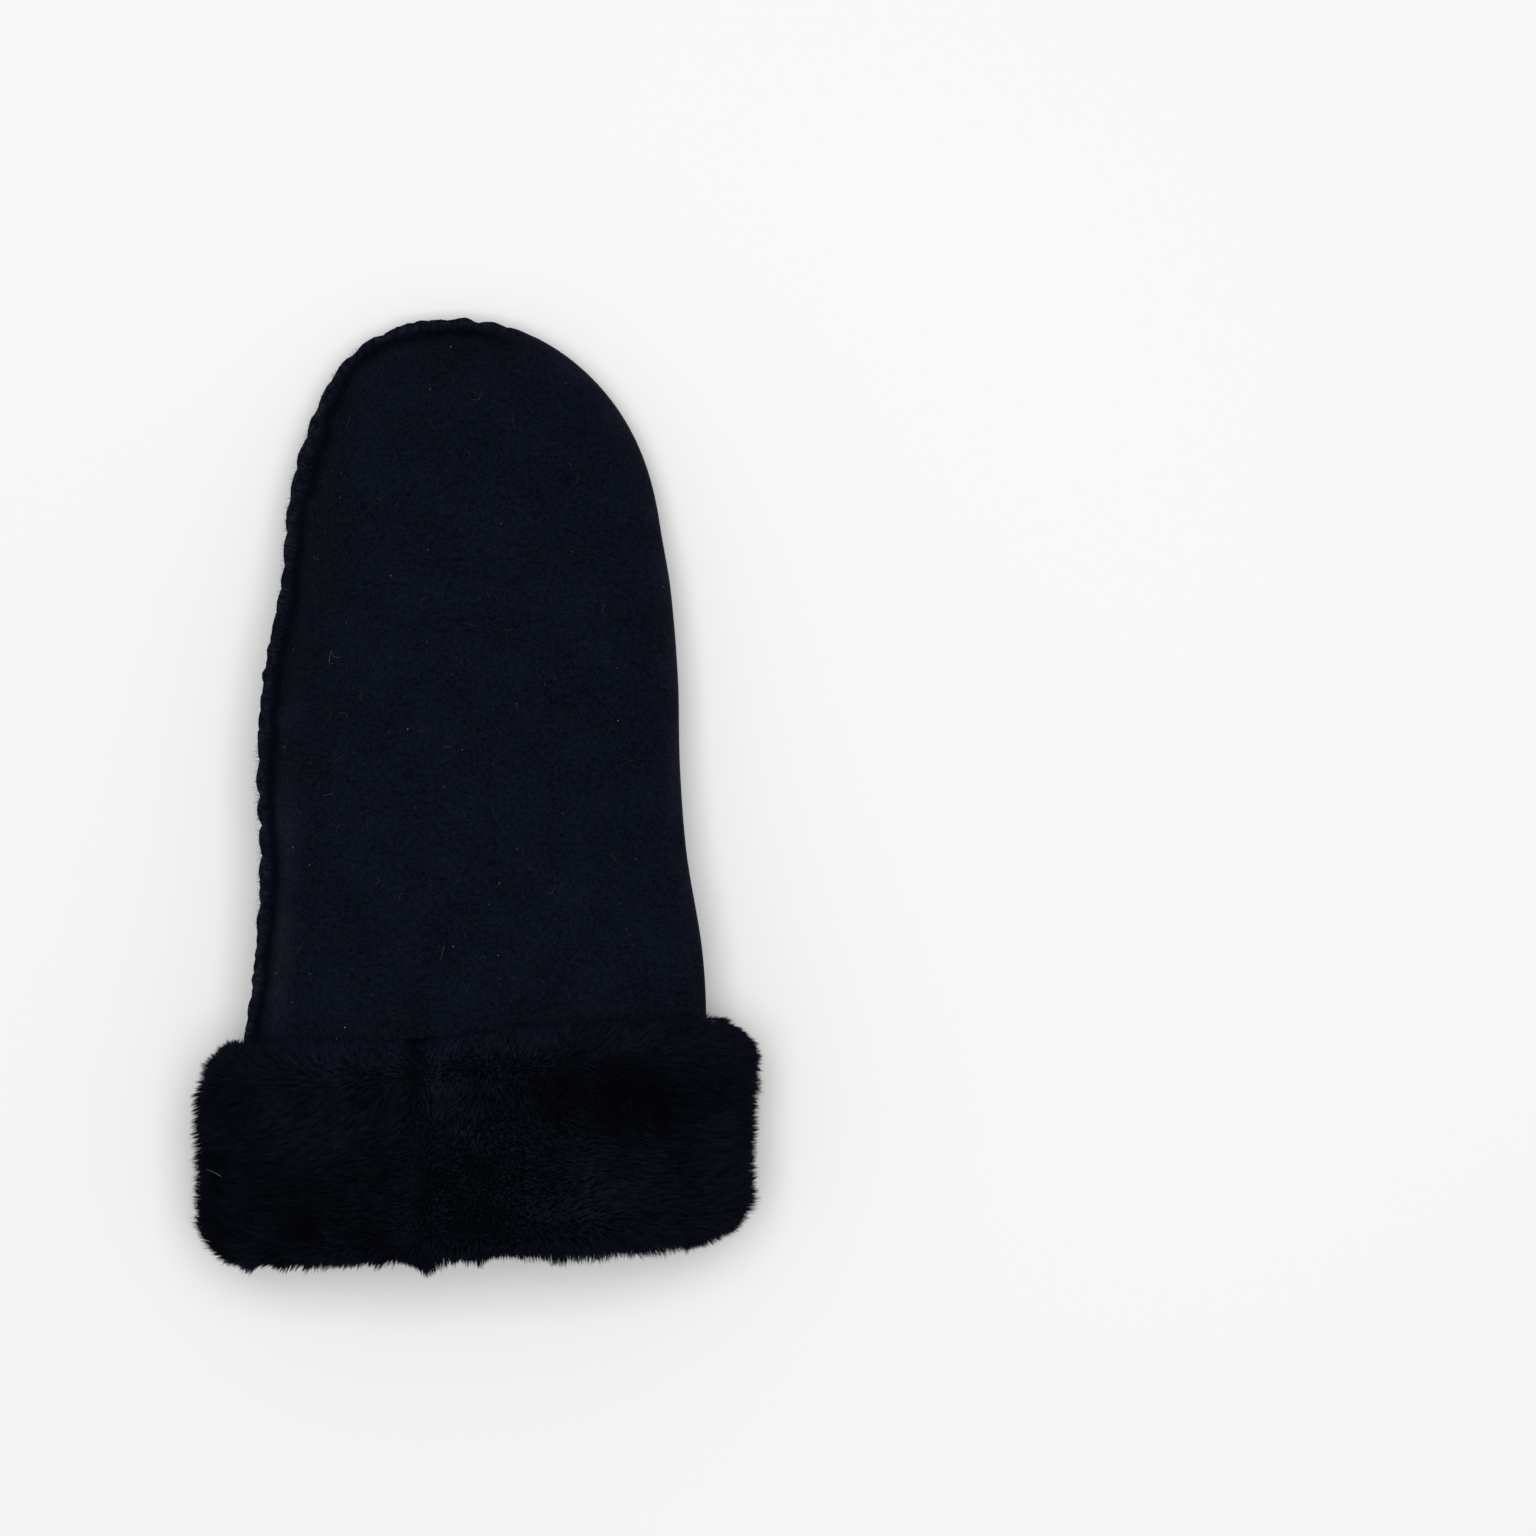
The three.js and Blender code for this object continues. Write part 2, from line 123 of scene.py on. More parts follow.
def hand_at(y):
    """The hand's section at distances y from the mouth, in millimetres: reach to the left and
    right, depth down and up, height of its edges, their fall per millimetre, and its middle."""
    left, right, sole, down, up, droop = pattern_at(np.asarray(y, float) / HAND_LENGTH)
    middle = -TIP_LEAN * np.clip(y, 0.0, TIP_CENTRE) / TIP_CENTRE
    return {
        "left": left * PALM_WIDTH,
        "right": right * PALM_WIDTH,
        "down": down * HAND_DEPTH,
        "up": up * HAND_DEPTH,
        "edge": sole * PALM_LIFT + down * HAND_DEPTH,
        "fall": droop * EDGE_DROOP / PALM_WIDTH,
        "middle": middle,
    }


def smooth_step(x, low, high):
    """0 below low, 1 above high, and 3t^2 - 2t^3 between."""
    t = np.clip((x - low) / (high - low), 0.0, 1.0)
    return t * t * (3 - 2 * t)


def edge_height(x, y):
    """Height of the sheet through the hand's edges: the edge's height less its fall times x."""
    hand = hand_at(y)
    return hand["edge"] - hand["fall"] * x


CUFF_HEIGHT = 51.0
WRIST_SLANT = math.tan(math.radians(3.6))


def slanted(points):
    """The wrist is cut a little askew: y grows by x times the slant, fading out above the cuff."""
    points = points.copy()
    fade = 1 - smooth_step(points[..., 1], CUFF_HEIGHT, CUFF_HEIGHT + 99.0)
    points[..., 1] += points[..., 0] * WRIST_SLANT * fade
    return points


print("width at half length:", round(float(hand_at(127)["left"] + hand_at(127)["right"]), 1), "mm")

# %% [markdown]
# ## Soft unevenness
# Sheepskin is never flat: it dents where it was handled. A smooth noise gives that unevenness.
# Blender has noise textures too, but a shape worked out here stays in the mesh when it leaves
# Blender, so the noise is an array: random values on a grid of cells, blended between corners.


# %% Noise and mesh helpers
def soft_noise(points, size, seed):
    """Smooth noise from -1 to 1: random values at the corners of cells of that size, weighted by
    a smooth step in x, y and z."""
    values = np.random.default_rng(seed).uniform(-1, 1, (24, 24, 24))
    scaled = points / size
    cell = np.floor(scaled).astype(int)
    t = scaled - cell
    t = t * t * (3 - 2 * t)
    total = np.zeros(points.shape[:-1])
    for corner in np.ndindex(2, 2, 2):
        weight = np.prod(np.where(corner, t, 1 - t), axis=-1)
        i, j, k = np.moveaxis((cell + corner) % 24, -1, 0)
        total += weight * values[i, j, k]
    return total


def make_piece(name, points, faces, node, slot, smooth=True, **marks):
    """A piece of the part from points in millimetres and arrays of corner numbers, one array for
    quads and one for triangles. marks are values at each point that a material can read."""
    mesh = bpy.data.meshes.new(name)
    mesh.vertices.add(len(points))
    mesh.vertices.foreach_set("co", ((points - ORIGIN) * MM).astype(np.float32).ravel())
    corners = np.concatenate([rows.ravel() for rows in faces])
    sides = np.concatenate([np.full(len(rows), rows.shape[1]) for rows in faces])
    starts = np.concatenate([[0], np.cumsum(sides)[:-1]])
    mesh.loops.add(len(corners))
    mesh.loops.foreach_set("vertex_index", corners.astype(np.int32))
    mesh.polygons.add(len(sides))
    mesh.polygons.foreach_set("loop_start", starts.astype(np.int32))
    mesh.polygons.foreach_set("use_smooth", np.full(len(sides), smooth))
    for mark, values in marks.items():
        layer = mesh.attributes.new(mark, "FLOAT", "POINT")
        layer.data.foreach_set("value", values.astype(np.float32).ravel())
    mesh.update(calc_edges=True)
    piece = bpy.data.objects.new(name, mesh)
    bpy.context.scene.collection.objects.link(piece)
    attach(piece, "root")
    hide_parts(node)
    print(f"{name}: {int((sides - 2).sum())} triangles")
    return piece


def grid_faces(rows, columns, closed=False):
    """Quads over a grid of rows by columns of points, counted row by row. A closed grid's last
    row joins its first."""
    i, j = np.meshgrid(np.arange(rows - (not closed)), np.arange(columns - 1), indexing="ij")
    a, b = (i * columns + j).ravel(), ((i + 1) % rows * columns + j).ravel()
    return np.stack([a, b, b + 1, a + 1], axis=1)


def welded(points, faces, *others):
    """Points that lie on the same spot become one. Returns the points, the quads, and the other
    arrays thinned out in the same way."""
    _, first, place = np.unique(
        np.round(points, 3), axis=0, return_index=True, return_inverse=True
    )
    return points[first], place.ravel()[faces], *(other[first] for other in others)


def without_slivers(quads):
    """Quads as they are, and those with two corners on one spot as triangles."""
    same = quads == np.roll(quads, -1, axis=1)
    whole = quads[~same.any(axis=1)]
    folded = quads[same.sum(axis=1) == 1]
    keep = ~(folded == np.roll(folded, -1, axis=1))
    return [whole, folded[keep].reshape(-1, 3)]


# %% [markdown]
# ## The seam
# The two raw edges are sewn together outside, about 3 mm in, and then stand up as two lips. The
# thread pulls a groove into the skin behind them, and between stitches the lips bulge, so the
# edge runs in uneven scallops. A displacement map would give a bumpy surface but not this edge,
# so the profile has a ring of points on each turn of the lip, and the scallops push those rings.

# %% The seam's profile
SEAM_START = 59.0
SEAM_FADE = 7.0
SEAM_END = math.radians(74)
TIP_FADE = 0.25
TIP_CORNER = 212.0
GROOVE_IN = 3.7
GROOVE_HIGH = 0.9
LIP_IN = np.array([0.25, -0.05, 0.0, 0.45, 1.2, 2.0, 2.8, 3.35, GROOVE_IN])
LIP_HIGH = np.array([0.35, 0.9, 1.55, 2.15, 2.45, 2.35, 1.85, 1.25, GROOVE_HIGH])
LIP_OUT = np.array([0.75, 1.0, 1.0, 0.85, 0.6, 0.4, 0.2, 0.05, 0.0])


def along_noise(along, size, seed):
    """Smooth noise from -1 to 1 at distances along the seam."""
    spots = np.stack([along, 0 * along + 7.3, 0 * along + 2.1], axis=-1)
    return soft_noise(spots, size, seed)


def scallops(along, seed):
    """How far the lip bulges out, in millimetres, at distances along the seam: rounded humps with
    narrow notches, whose length and height wander, and a fine ruffle on them."""
    phase = along / 8.6 + 1.1 * along_noise(along, 21.0, seed)
    hump = np.abs(np.sin(np.pi * phase)) ** 0.7
    height = 0.65 + 0.65 * along_noise(along, 13.0, seed + 1)
    ruffle = 0.3 * along_noise(along, 2.7, seed + 4)
    return 1.5 * height * (hump - 0.6) + 0.5 * along_noise(along, 33.0, seed + 2) + ruffle


def ridge_width(along, seed):
    """How wide the lip is at distances along the seam, as a share of its usual width: wider round
    the corner of the fingertips, where the skin is gathered in, and uneven all along."""
    gathered = np.exp(-(((along - TIP_CORNER) / 26.0) ** 2))
    puckers = (0.1 + 0.45 * gathered) * along_noise(along, 7.0, seed + 5)
    return 1 + 0.4 * gathered + 0.2 * along_noise(along, 19.0, seed + 3) + puckers


print("lip stands", LIP_HIGH.max() * 2, "mm deep over both edges")

# %% [markdown]
# ## The hand
# The surface is a function of two parameters: how far round the mitten's edge, from the wrist up
# the seam, over the tips and down the fold, and how far from the middle of the back, round that
# edge, to the middle of the palm. Each cross section is a superellipse, which a real mitten comes
# close to: flat in the middle, round at its edge. Sculpting could do the same, but would have to
# be done again for each size.


# %% Stations round the edge
def edge_stations():
    """Points of the hand's edge, the middle point that each looks to, how much of a seam it has
    (0 to 1) and the distance run along the edge."""
    y = np.concatenate([np.arange(0.0, 48.0, 4.0), np.linspace(48.0, TIP_CENTRE, 184)])
    hand = hand_at(y)
    left = np.stack([-hand["left"], y], axis=1)
    right = np.stack([hand["right"], y], axis=1)
    middle = np.stack([hand["middle"], y], axis=1)
    turn = np.linspace(math.pi, 0.0, 1200)
    out = np.abs(np.cos(turn)) ** (2 / TIP_SQUARE) * np.sign(np.cos(turn))
    tip_y = TIP_CENTRE + TIP_ROUND * np.sin(turn) ** (2 / TIP_SQUARE)
    tip = hand_at(tip_y)
    reach = np.where(out < 0, tip["left"] + tip["middle"], tip["right"] - tip["middle"])
    curve = np.stack([tip["middle"] + reach * out, tip_y], axis=1)
    run = np.concatenate([[0], np.cumsum(np.hypot(*np.diff(curve, axis=0).T))])
    even = np.linspace(0, run[-1], 224)[1:-1]
    arc = np.stack([np.interp(even, run, curve[:, 0]), np.interp(even, run, curve[:, 1])], axis=1)
    turn = np.interp(even, run, turn)
    pole = np.tile([hand_at(TIP_CENTRE)["middle"], TIP_CENTRE], (len(arc), 1))
    edge = np.concatenate([left, arc, right[::-1]])
    look = np.concatenate([middle, pole, middle[::-1]])
    side_seam = smooth_step(y, SEAM_START - SEAM_FADE, SEAM_START)
    tip_seam = smooth_step(turn, SEAM_END - TIP_FADE, SEAM_END + TIP_FADE)
    seam = np.concatenate([side_seam, tip_seam, np.zeros(len(y))])
    along = np.concatenate([[0], np.cumsum(np.hypot(*np.diff(edge, axis=0).T))])
    return edge, look, seam, along


edge, look, seam, along = edge_stations()
print(len(edge), "stations,", round(float(along[-1])), "mm round the edge")

# %% [markdown]
# ## One skin, outside and inside
# The outside gets the lips, the puckers beside the groove and the dents. The inside is the same
# function drawn in by the skin's thickness, without lips, so the wall is even all over and the
# mouth and the thumb's hole can be joined edge to edge.

# %% Rings from the back to the palm
BACK_RINGS = 38
PALM_RINGS = 30
PUCKER = 0.8
PUCKER_REACH = 6.0
EASED = 0.6
EASE_REACH = 4.5


def quarter(count, roundness, flatness=4.0, crowding=1.3):
    """A superellipse's quarter from its edge to its middle, as (out, high) shares at count
    points. The points are spaced by distance along it, closer together near the edge."""
    angle = np.linspace(0, math.pi / 2, 2000)
    out, high = np.cos(angle).clip(0) ** (2 / roundness), np.sin(angle) ** (2 / roundness)
    run = np.concatenate([[0], np.cumsum(np.hypot(flatness * np.diff(out), np.diff(high)))])
    place = run[-1] * (np.arange(1, count + 1) / count) ** crowding
    return np.interp(place, run, out), np.interp(place, run, high)


def half_rings(count, roundness, half, rise, inset, bulge, wide):
    """One half of each section, from the edge to the middle: (inwards, height) for count rings.
    On the fold it is a superellipse. On the seam the first rings follow the lip, and the rest is
    a rounder one from the groove, puckered where the lip bulges. Its start is eased: its height
    loses a share that dies away inwards, because sewn skins rise as a slope and not as a wall."""
    out, high = quarter(count, roundness)
    fold_in = inset + (half - inset) * (1 - out)
    fold_high = (rise - inset) * high
    if inset:
        out, high = quarter(count, roundness - 0.3)
        start = inset + GROOVE_IN
        sewn_in = start + (half - start) * (1 - out)
        sewn_high = (rise - inset) * high * (1 - EASED * np.exp((start - sewn_in) / EASE_REACH))
    else:
        out, high = quarter(count - len(LIP_IN), roundness - 0.3)
        start = wide * (GROOVE_IN + 0.35 * bulge)
        puff_in = start + (half - start) * (1 - out)
        pucker = -PUCKER * bulge * np.exp((start - puff_in) / PUCKER_REACH)
        eased = 1 - EASED * np.exp((start - puff_in) / EASE_REACH)
        puff_high = GROOVE_HIGH + (rise - GROOVE_HIGH) * high * eased + pucker * high**0.4
        lip_in = wide * (LIP_IN + 0.35 * bulge * LIP_IN / GROOVE_IN) - bulge * LIP_OUT
        sewn_in = np.concatenate([lip_in, puff_in], axis=1)
        lip_high = LIP_HIGH * (1 + 0.12 * bulge * LIP_OUT) * (0.6 + 0.4 * wide)
        sewn_high = np.concatenate([lip_high, puff_high], axis=1)
    blend = seam[:, None]
    return fold_in + (sewn_in - fold_in) * blend, fold_high + (sewn_high - fold_high) * blend


FLOOR_GAP = 0.05


def dents(points):
    """The handled skin's unevenness, in millimetres: broad soft dents, smaller ones, and faint
    creases across the hand, all as noise over x and y."""
    flat = np.stack([points[..., 0], points[..., 1], 0 * points[..., 0]], axis=-1)
    broad = 0.8 * soft_noise(flat + 11.0, 42.0, 3) + 0.36 * soft_noise(flat + 5.0, 17.0, 4)
    return broad + 0.14 * soft_noise(flat * [1.0, 1.7, 1.0], 7.0, 5)


def hand_surface(inset):
    """Points of the hand's skin as stations by rings, in millimetres. The first and last rings
    lie on the middle line, where the two sides must meet on the very same spot to be welded."""
    hand = hand_at(look[:, 1])
    outward = edge - look
    half = np.hypot(*outward.T)[:, None]
    outward = outward / half
    upper, lower = scallops(along, 31)[:, None], scallops(along + 3.1, 57)[:, None]
    up, down = hand["up"][:, None], hand["down"][:, None]
    taper = (0.3 + 0.7 * seam)[:, None]
    wide_up, wide_down = (taper * ridge_width(along, seed)[:, None] for seed in (31, 57))
    back_in, back_high = half_rings(BACK_RINGS, BACK_ROUND, half, up, inset, upper, wide_up)
    palm_in, palm_high = half_rings(PALM_RINGS, PALM_ROUND, half, down, inset, lower, wide_down)
    between_lips = inset + GROOVE_IN if inset else 1.0
    rim = inset + (between_lips - inset) * seam[:, None] ** 2
    inwards = np.concatenate([back_in[:, ::-1], rim, palm_in], axis=1)
    height = np.concatenate([back_high[:, ::-1], 0 * rim, -palm_high], axis=1)
    flat = edge[:, None, :] - outward[:, None, :] * inwards[..., None]
    x, y = flat[..., 0], flat[..., 1]
    points = np.stack([x, y, edge_height(x, y) + height], axis=-1)
    x, y = look.T
    points[:, 0] = np.stack([x, y, edge_height(x, y) + hand["up"] - inset], axis=1)
    points[:, -1] = np.stack([x, y, edge_height(x, y) - hand["down"] + inset], axis=1)
    share = smooth_step(inwards, inset + GROOVE_IN, inset + GROOVE_IN + 14.0)
    points[..., 2] += dents(points) * share
    points[..., 2] = np.maximum(points[..., 2], FLOOR_GAP + inset)
    return slanted(points)


outside = hand_surface(0.0)
inside = hand_surface(SKIN)
print("back is", round(float(outside[..., 2].max()), 1), "mm above the table")

# %% [markdown]
# ## The thumb's hole
# The hole is an oval in the palm. The faces whose corners fall inside it are left out, the
# points round the gap move onto the oval, and a strip of faces joins the two edges of the skin,
# as it does round the mouth. A Boolean would cut it too, but leaves long thin faces behind.

# %% Sizes of the thumb
THUMB_LENGTH = 68.0
THUMB_HEEL = 22.0
THUMB_TIP = 16.5
THUMB_DEPTH = 13.0
THUMB_LEAN = math.radians(13)
THUMB_SKIN = 2.6
HOLE_HALF = np.array([13.5, 20.0])
THUMB_ROOT = np.array([-0.17 * PALM_WIDTH, 0.345 * HAND_LENGTH])


def thumb_place(share, aside=0.0):
    """A point on the thumb's plan: a share of the way from its base to its tip, off to a side."""
    ahead = np.asarray(share) * THUMB_LENGTH
    x = THUMB_ROOT[0] - math.sin(THUMB_LEAN) * ahead + math.cos(THUMB_LEAN) * aside
    y = THUMB_ROOT[1] + math.cos(THUMB_LEAN) * ahead + math.sin(THUMB_LEAN) * aside
    return np.stack([x, y], axis=-1)


HOLE_CENTRE = slanted(np.append(thumb_place(0.0), 0.0))[:2]


def hole_share(points, grow):
    """How far out of the oval hole a point lies: 1 on its rim, less inside."""
    off = points[..., :2] - HOLE_CENTRE
    across = off[..., 0] * math.cos(THUMB_LEAN) + off[..., 1] * math.sin(THUMB_LEAN)
    ahead = -off[..., 0] * math.sin(THUMB_LEAN) + off[..., 1] * math.cos(THUMB_LEAN)
    return np.hypot(across / (HOLE_HALF[0] + grow), ahead / (HOLE_HALF[1] + grow))


def open_edges(faces):
    """The directed sides of quads that no other quad shares."""
    sides = np.concatenate([faces[:, [i, (i + 1) % 4]] for i in range(4)])
    keys = np.sort(sides, axis=1)
    _, first, count = np.unique(keys, axis=0, return_index=True, return_counts=True)
    return sides[first[count == 1]]


def holed_shell(outer, inner, quads, allowed, grow, *marks):
    """A skin with a hole: the quads of its outside and, turned round, of its inside, without
    those in the oval, and strips that join the two along every open edge. allowed says which
    points may be in the oval. Returns points, faces, and the marks with 0 on the inside."""
    outer, quads, inner, allowed, *marks = welded(outer, quads, inner, allowed, *marks)
    share = np.where(allowed, hole_share(outer, grow), 9.0)
    inside_oval = (share[quads] < 1).any(axis=1)
    kept = quads[~inside_oval]
    rim = np.intersect1d(kept, quads[inside_oval])
    for skin in (outer, inner):
        pull = 1 / hole_share(skin[rim], grow)[:, None]
        skin[rim, :2] = HOLE_CENTRE + (skin[rim, :2] - HOLE_CENTRE) * pull
    sides = open_edges(kept)[:, ::-1]
    count = len(outer)
    strips = np.concatenate([sides, sides[:, ::-1] + count], axis=1)
    faces = without_slivers(np.concatenate([kept, kept[:, ::-1] + count, strips]))
    marks = [np.concatenate([mark, 0 * mark]) for mark in marks]
    return np.concatenate([outer, inner]), faces, marks


# %% [markdown]
# ## Raw edges, painted highlights, painted shade and painted sheen
# The lips' raw edges are paler where they fray, and their tops also carry a painted highlight. The
# groove is darkened with painted shade, and a painted sheen lightens the nap beside the seam and
# along the fold. A painted mask would say where, but only for one size. Here each of these marks is
# a value at each point, worked out from how far round the edge and how far in the point lies, and
# the suede's material reads it.

# %% The hand's skin
stations, rings = outside.shape[:2]
from_edge = np.arange(rings) - BACK_RINGS
# The lips' tops: paler as frayed raw edge, and with a painted highlight where the lips stand highest.
lip_top = np.exp(-(((np.abs(from_edge) - 3.5) / 2.2) ** 2)) * seam[:, None]
# Painted shade in the groove behind the lips, on both sides, and on the first rings beyond it.
groove = np.exp(-(((np.abs(from_edge) - len(LIP_IN) - 1) / 2.4) ** 2)) * seam[:, None]
rim = outside[:, BACK_RINGS : BACK_RINGS + 1]
inwards = np.hypot(*np.moveaxis((outside - rim)[..., :2], -1, 0))
# Painted sheen: a pale band a few millimetres in from the seam, strongest low on the hand, and a
# narrower one along the fold.
low = smooth_step(outside[..., 1], 45.0, 70.0) * (1 - smooth_step(outside[..., 1], 110.0, 165.0))
sheen_by_seam = np.exp(-(((inwards - 6.5) / 4.0) ** 2)) * (0.12 + 0.88 * low) * seam[:, None]
sheen_by_fold = np.exp(-((inwards / 3.5) ** 2)) * (1 - seam[:, None])
worn = sheen_by_seam + 0.7 * sheen_by_fold
points, faces, marks = holed_shell(
    outside.reshape(-1, 3),
    inside.reshape(-1, 3),
    grid_faces(stations, rings),
    np.tile(from_edge > 4, stations),
    0.8,
    lip_top.ravel(),
    groove.ravel(),
    worn.ravel(),
    np.ones(stations * rings),
)
hand_skin = make_piece(
    "hand_skin",
    points,
    faces,
    "hand_body",
    "suede",
    lip=marks[0],
    groove=marks[1],
    worn=marks[2],
    outer=marks[3],
)

# %% [markdown]
# ## The thumb
# The thumb is a tapered bag. It is flat underneath, where the table presses it, and on top it
# takes the palm's own shape, less a hair's gap. So its upper skin is the lower of two heights:
# its own round section, and the palm above it.


# %% The thumb's skin
THUMB_RINGS = 20


def palm_under(points):
    """Height of the palm's outer skin over points of the plan, by the hand's own section."""
    x, y = points[..., 0], points[..., 1]
    hand = hand_at(y)
    left, right = hand["left"] + hand["middle"], hand["right"] - hand["middle"]
    reach = np.where(x < hand["middle"], left, right)
    share = np.clip(np.abs(x - hand["middle"]) / reach, 0, 0.995)
    depth = hand["down"] * (1 - share**PALM_ROUND) ** (1 / PALM_ROUND)
    return hand["edge"] - hand["fall"] * x - depth + dents(points)


def thumb_surface(inset):
    """Points of the thumb's skin, stations round its plan by rings from top middle to bottom
    middle: a rounded taper in plan, a superellipse in section, pressed by palm and table."""
    line = np.linspace(0, 1, 40)
    cap = np.linspace(0, math.pi, 44)[1:-1]
    share = np.concatenate([line, 0 * cap + 1, line[::-1], 0 * cap])
    angle = np.concatenate([0 * line, cap, 0 * line + math.pi, cap + math.pi])
    radius = THUMB_HEEL + (THUMB_TIP - THUMB_HEEL) * share - inset
    centre = thumb_place(share)
    rim = thumb_place(share + radius * np.sin(angle) / THUMB_LENGTH, radius * np.cos(angle))
    out, high = quarter(THUMB_RINGS, PALM_ROUND, flatness=3.0)
    out = np.concatenate([out[::-1], [1.0], out])
    high = np.concatenate([high[::-1], [0.0], -high])
    plan = centre[:, None, :] + (rim - centre)[:, None, :] * out[None, :, None]
    middle = THUMB_DEPTH / 2
    rise = np.where(high > 0, middle + SKIN - inset, middle + 0.3 - inset)
    z = middle + 0 * plan[..., 0] + rise * high
    z = np.minimum(z, palm_under(plan) - 0.35 - inset)
    z = np.maximum(z, FLOOR_GAP + inset)
    return slanted(np.concatenate([plan, z[..., None]], axis=-1))


thumb_out, thumb_in = thumb_surface(0.0), thumb_surface(THUMB_SKIN)
rows, columns = thumb_out.shape[:2]
points, faces, marks = holed_shell(
    thumb_out.reshape(-1, 3),
    thumb_in.reshape(-1, 3),
    grid_faces(rows, columns, closed=True)[:, ::-1],
    np.tile(np.arange(columns) < THUMB_RINGS, rows),
    0.0,
    np.ones(rows * columns),
)
thumb_skin = make_piece("thumb_skin", points, faces, "thumb", "suede", outer=marks[0])

# %% [markdown]
# ## The cuff's pelt
# The cuff is a strip of long-furred sheepskin, turned back over the wrist with its fur outside.
# A hair modifier or a particle system could grow the fur, but its hairs are only curves, which
# leave no solid mesh. Here the pelt is a smooth body at half the fur's depth, and each hair on it
# is a real spike. Two curves describe the strip's section: where the hairs are rooted, and where
# their tips end. Each is given as distances y along the hand and grow out from the hand's skin.

# %% Section of the fur
CUFF_EASE = 0.4
PELT = 1.5
FUR_OUTSIDE = 11.0
FUR_MOUTH = 5.5
FUR_INSIDE = 1.6
FUR_EDGE = 4.0
FUR_SHOULDER = 16.0
FUR_HEM_LENGTH = 3.0
CUFF_TURN_IN = 20.0
LEATHER = CUFF_EASE + PELT
LINING = -SKIN - CUFF_EASE
MOUTH = -CUFF_EASE


def cuff_section():
    """Places u from 0 at the cut edge to 1 inside the mouth, with root and tip as (y, grow) at
    each: a quarter round over the shoulder, straight down the outside, a half round about the
    mouth, whose depth shrinks from the outside to the inside, and straight on inside."""
    turn = np.linspace(0, math.pi / 2, 9)
    top = CUFF_HEIGHT + FUR_EDGE
    tip_y = top - FUR_SHOULDER * (1 - np.cos(turn))
    shoulder = [CUFF_HEIGHT - 8 * np.sin(turn), LEATHER + 0 * turn, tip_y]
    shoulder.append(LEATHER + FUR_OUTSIDE * np.sin(turn))
    down = np.linspace(0, 1, 12)[1:]
    straight = [(1 - down) * (CUFF_HEIGHT - 8) + down * MOUTH, LEATHER + 0 * down]
    straight.append((1 - down) * (top - FUR_SHOULDER) + down * (MOUTH + FUR_HEM_LENGTH))
    straight.append(LEATHER + FUR_OUTSIDE + 0 * down)
    turn = np.linspace(0, math.pi, 25)[1:]
    fold = (LEATHER - LINING + PELT) / 2
    side = (1 + np.cos(turn)) / 2
    depth = FUR_INSIDE + (FUR_OUTSIDE - FUR_INSIDE) * side**0.7
    depth = depth + (FUR_MOUTH - depth) * np.sin(turn) ** 2
    hem = np.where(turn < math.pi / 2, FUR_HEM_LENGTH * (1 - np.sin(turn)), 0)
    round_mouth = [MOUTH - fold * np.sin(turn), LEATHER - fold + fold * np.cos(turn)]
    round_mouth.append(MOUTH + hem - (fold + depth) * np.sin(turn))
    round_mouth.append(LEATHER - fold + (fold + depth) * np.cos(turn))
    back = np.linspace(0, 1, 6)[1:]
    inside = [MOUTH + back * (CUFF_TURN_IN - MOUTH), LINING - PELT + 0 * back]
    inside += [inside[0], LINING - PELT - FUR_INSIDE + 0 * back]
    columns = np.concatenate(
        [np.array(zone) for zone in (shoulder, straight, round_mouth, inside)], axis=1
    )
    run = np.cumsum(np.hypot(*np.diff(columns[2:], axis=1)))
    return np.concatenate([[0], run / run[-1]]), columns


SECTION_U, SECTION = cuff_section()


def cuff_point(turn, u, share):
    """A point of the cuff: turn goes round the wrist, 0 on the sewn edge, a quarter on the back's
    middle and a half on the fold. u goes along the section, and share from root to tip."""
    root_y, root_grow, tip_y, tip_grow = (np.interp(u, SECTION_U, row) for row in SECTION)
    y = root_y + (tip_y - root_y) * share
    return wrist_point(turn, y, root_grow + (tip_grow - root_grow) * share)


def wrist_point(turn, y, grow):
    """A point grow outside the hand's own section at y: a superellipse, rounder on the back."""
    hand = hand_at(y)
    across, up = np.cos(turn), np.sin(turn)
    power = 2 / np.where(up > 0, BACK_ROUND, PALM_ROUND)
    half = np.where(across > 0, hand["left"] + hand["middle"], hand["right"] - hand["middle"])
    rise = np.where(up > 0, hand["up"], hand["down"]) + grow
    x = hand["middle"] - np.sign(across) * (half + grow) * np.abs(across) ** power
    z = edge_height(x, y) + np.sign(up) * rise * np.abs(up) ** power
    return slanted(np.stack(np.broadcast_arrays(x, y, z), axis=-1))


def even_turns():
    """Turns spaced evenly by distance round the cuff, as a table of (share of the way, turn)."""
    turn = np.linspace(0, 2 * math.pi, 4001)
    ring = wrist_point(turn, 20.0 + 0 * turn, FUR_OUTSIDE)
    run = np.concatenate([[0], np.cumsum(np.linalg.norm(np.diff(ring, axis=0), axis=1))])
    return run / run[-1], turn, run[-1]


ROUND_SHARE, ROUND_TURN, CUFF_ROUND = even_turns()
FUR_LENGTH = float(np.hypot(*np.diff(SECTION[2:], axis=1)).sum())
print("the cuff is", round(CUFF_ROUND), "mm round, its fur", round(FUR_LENGTH), "mm over")

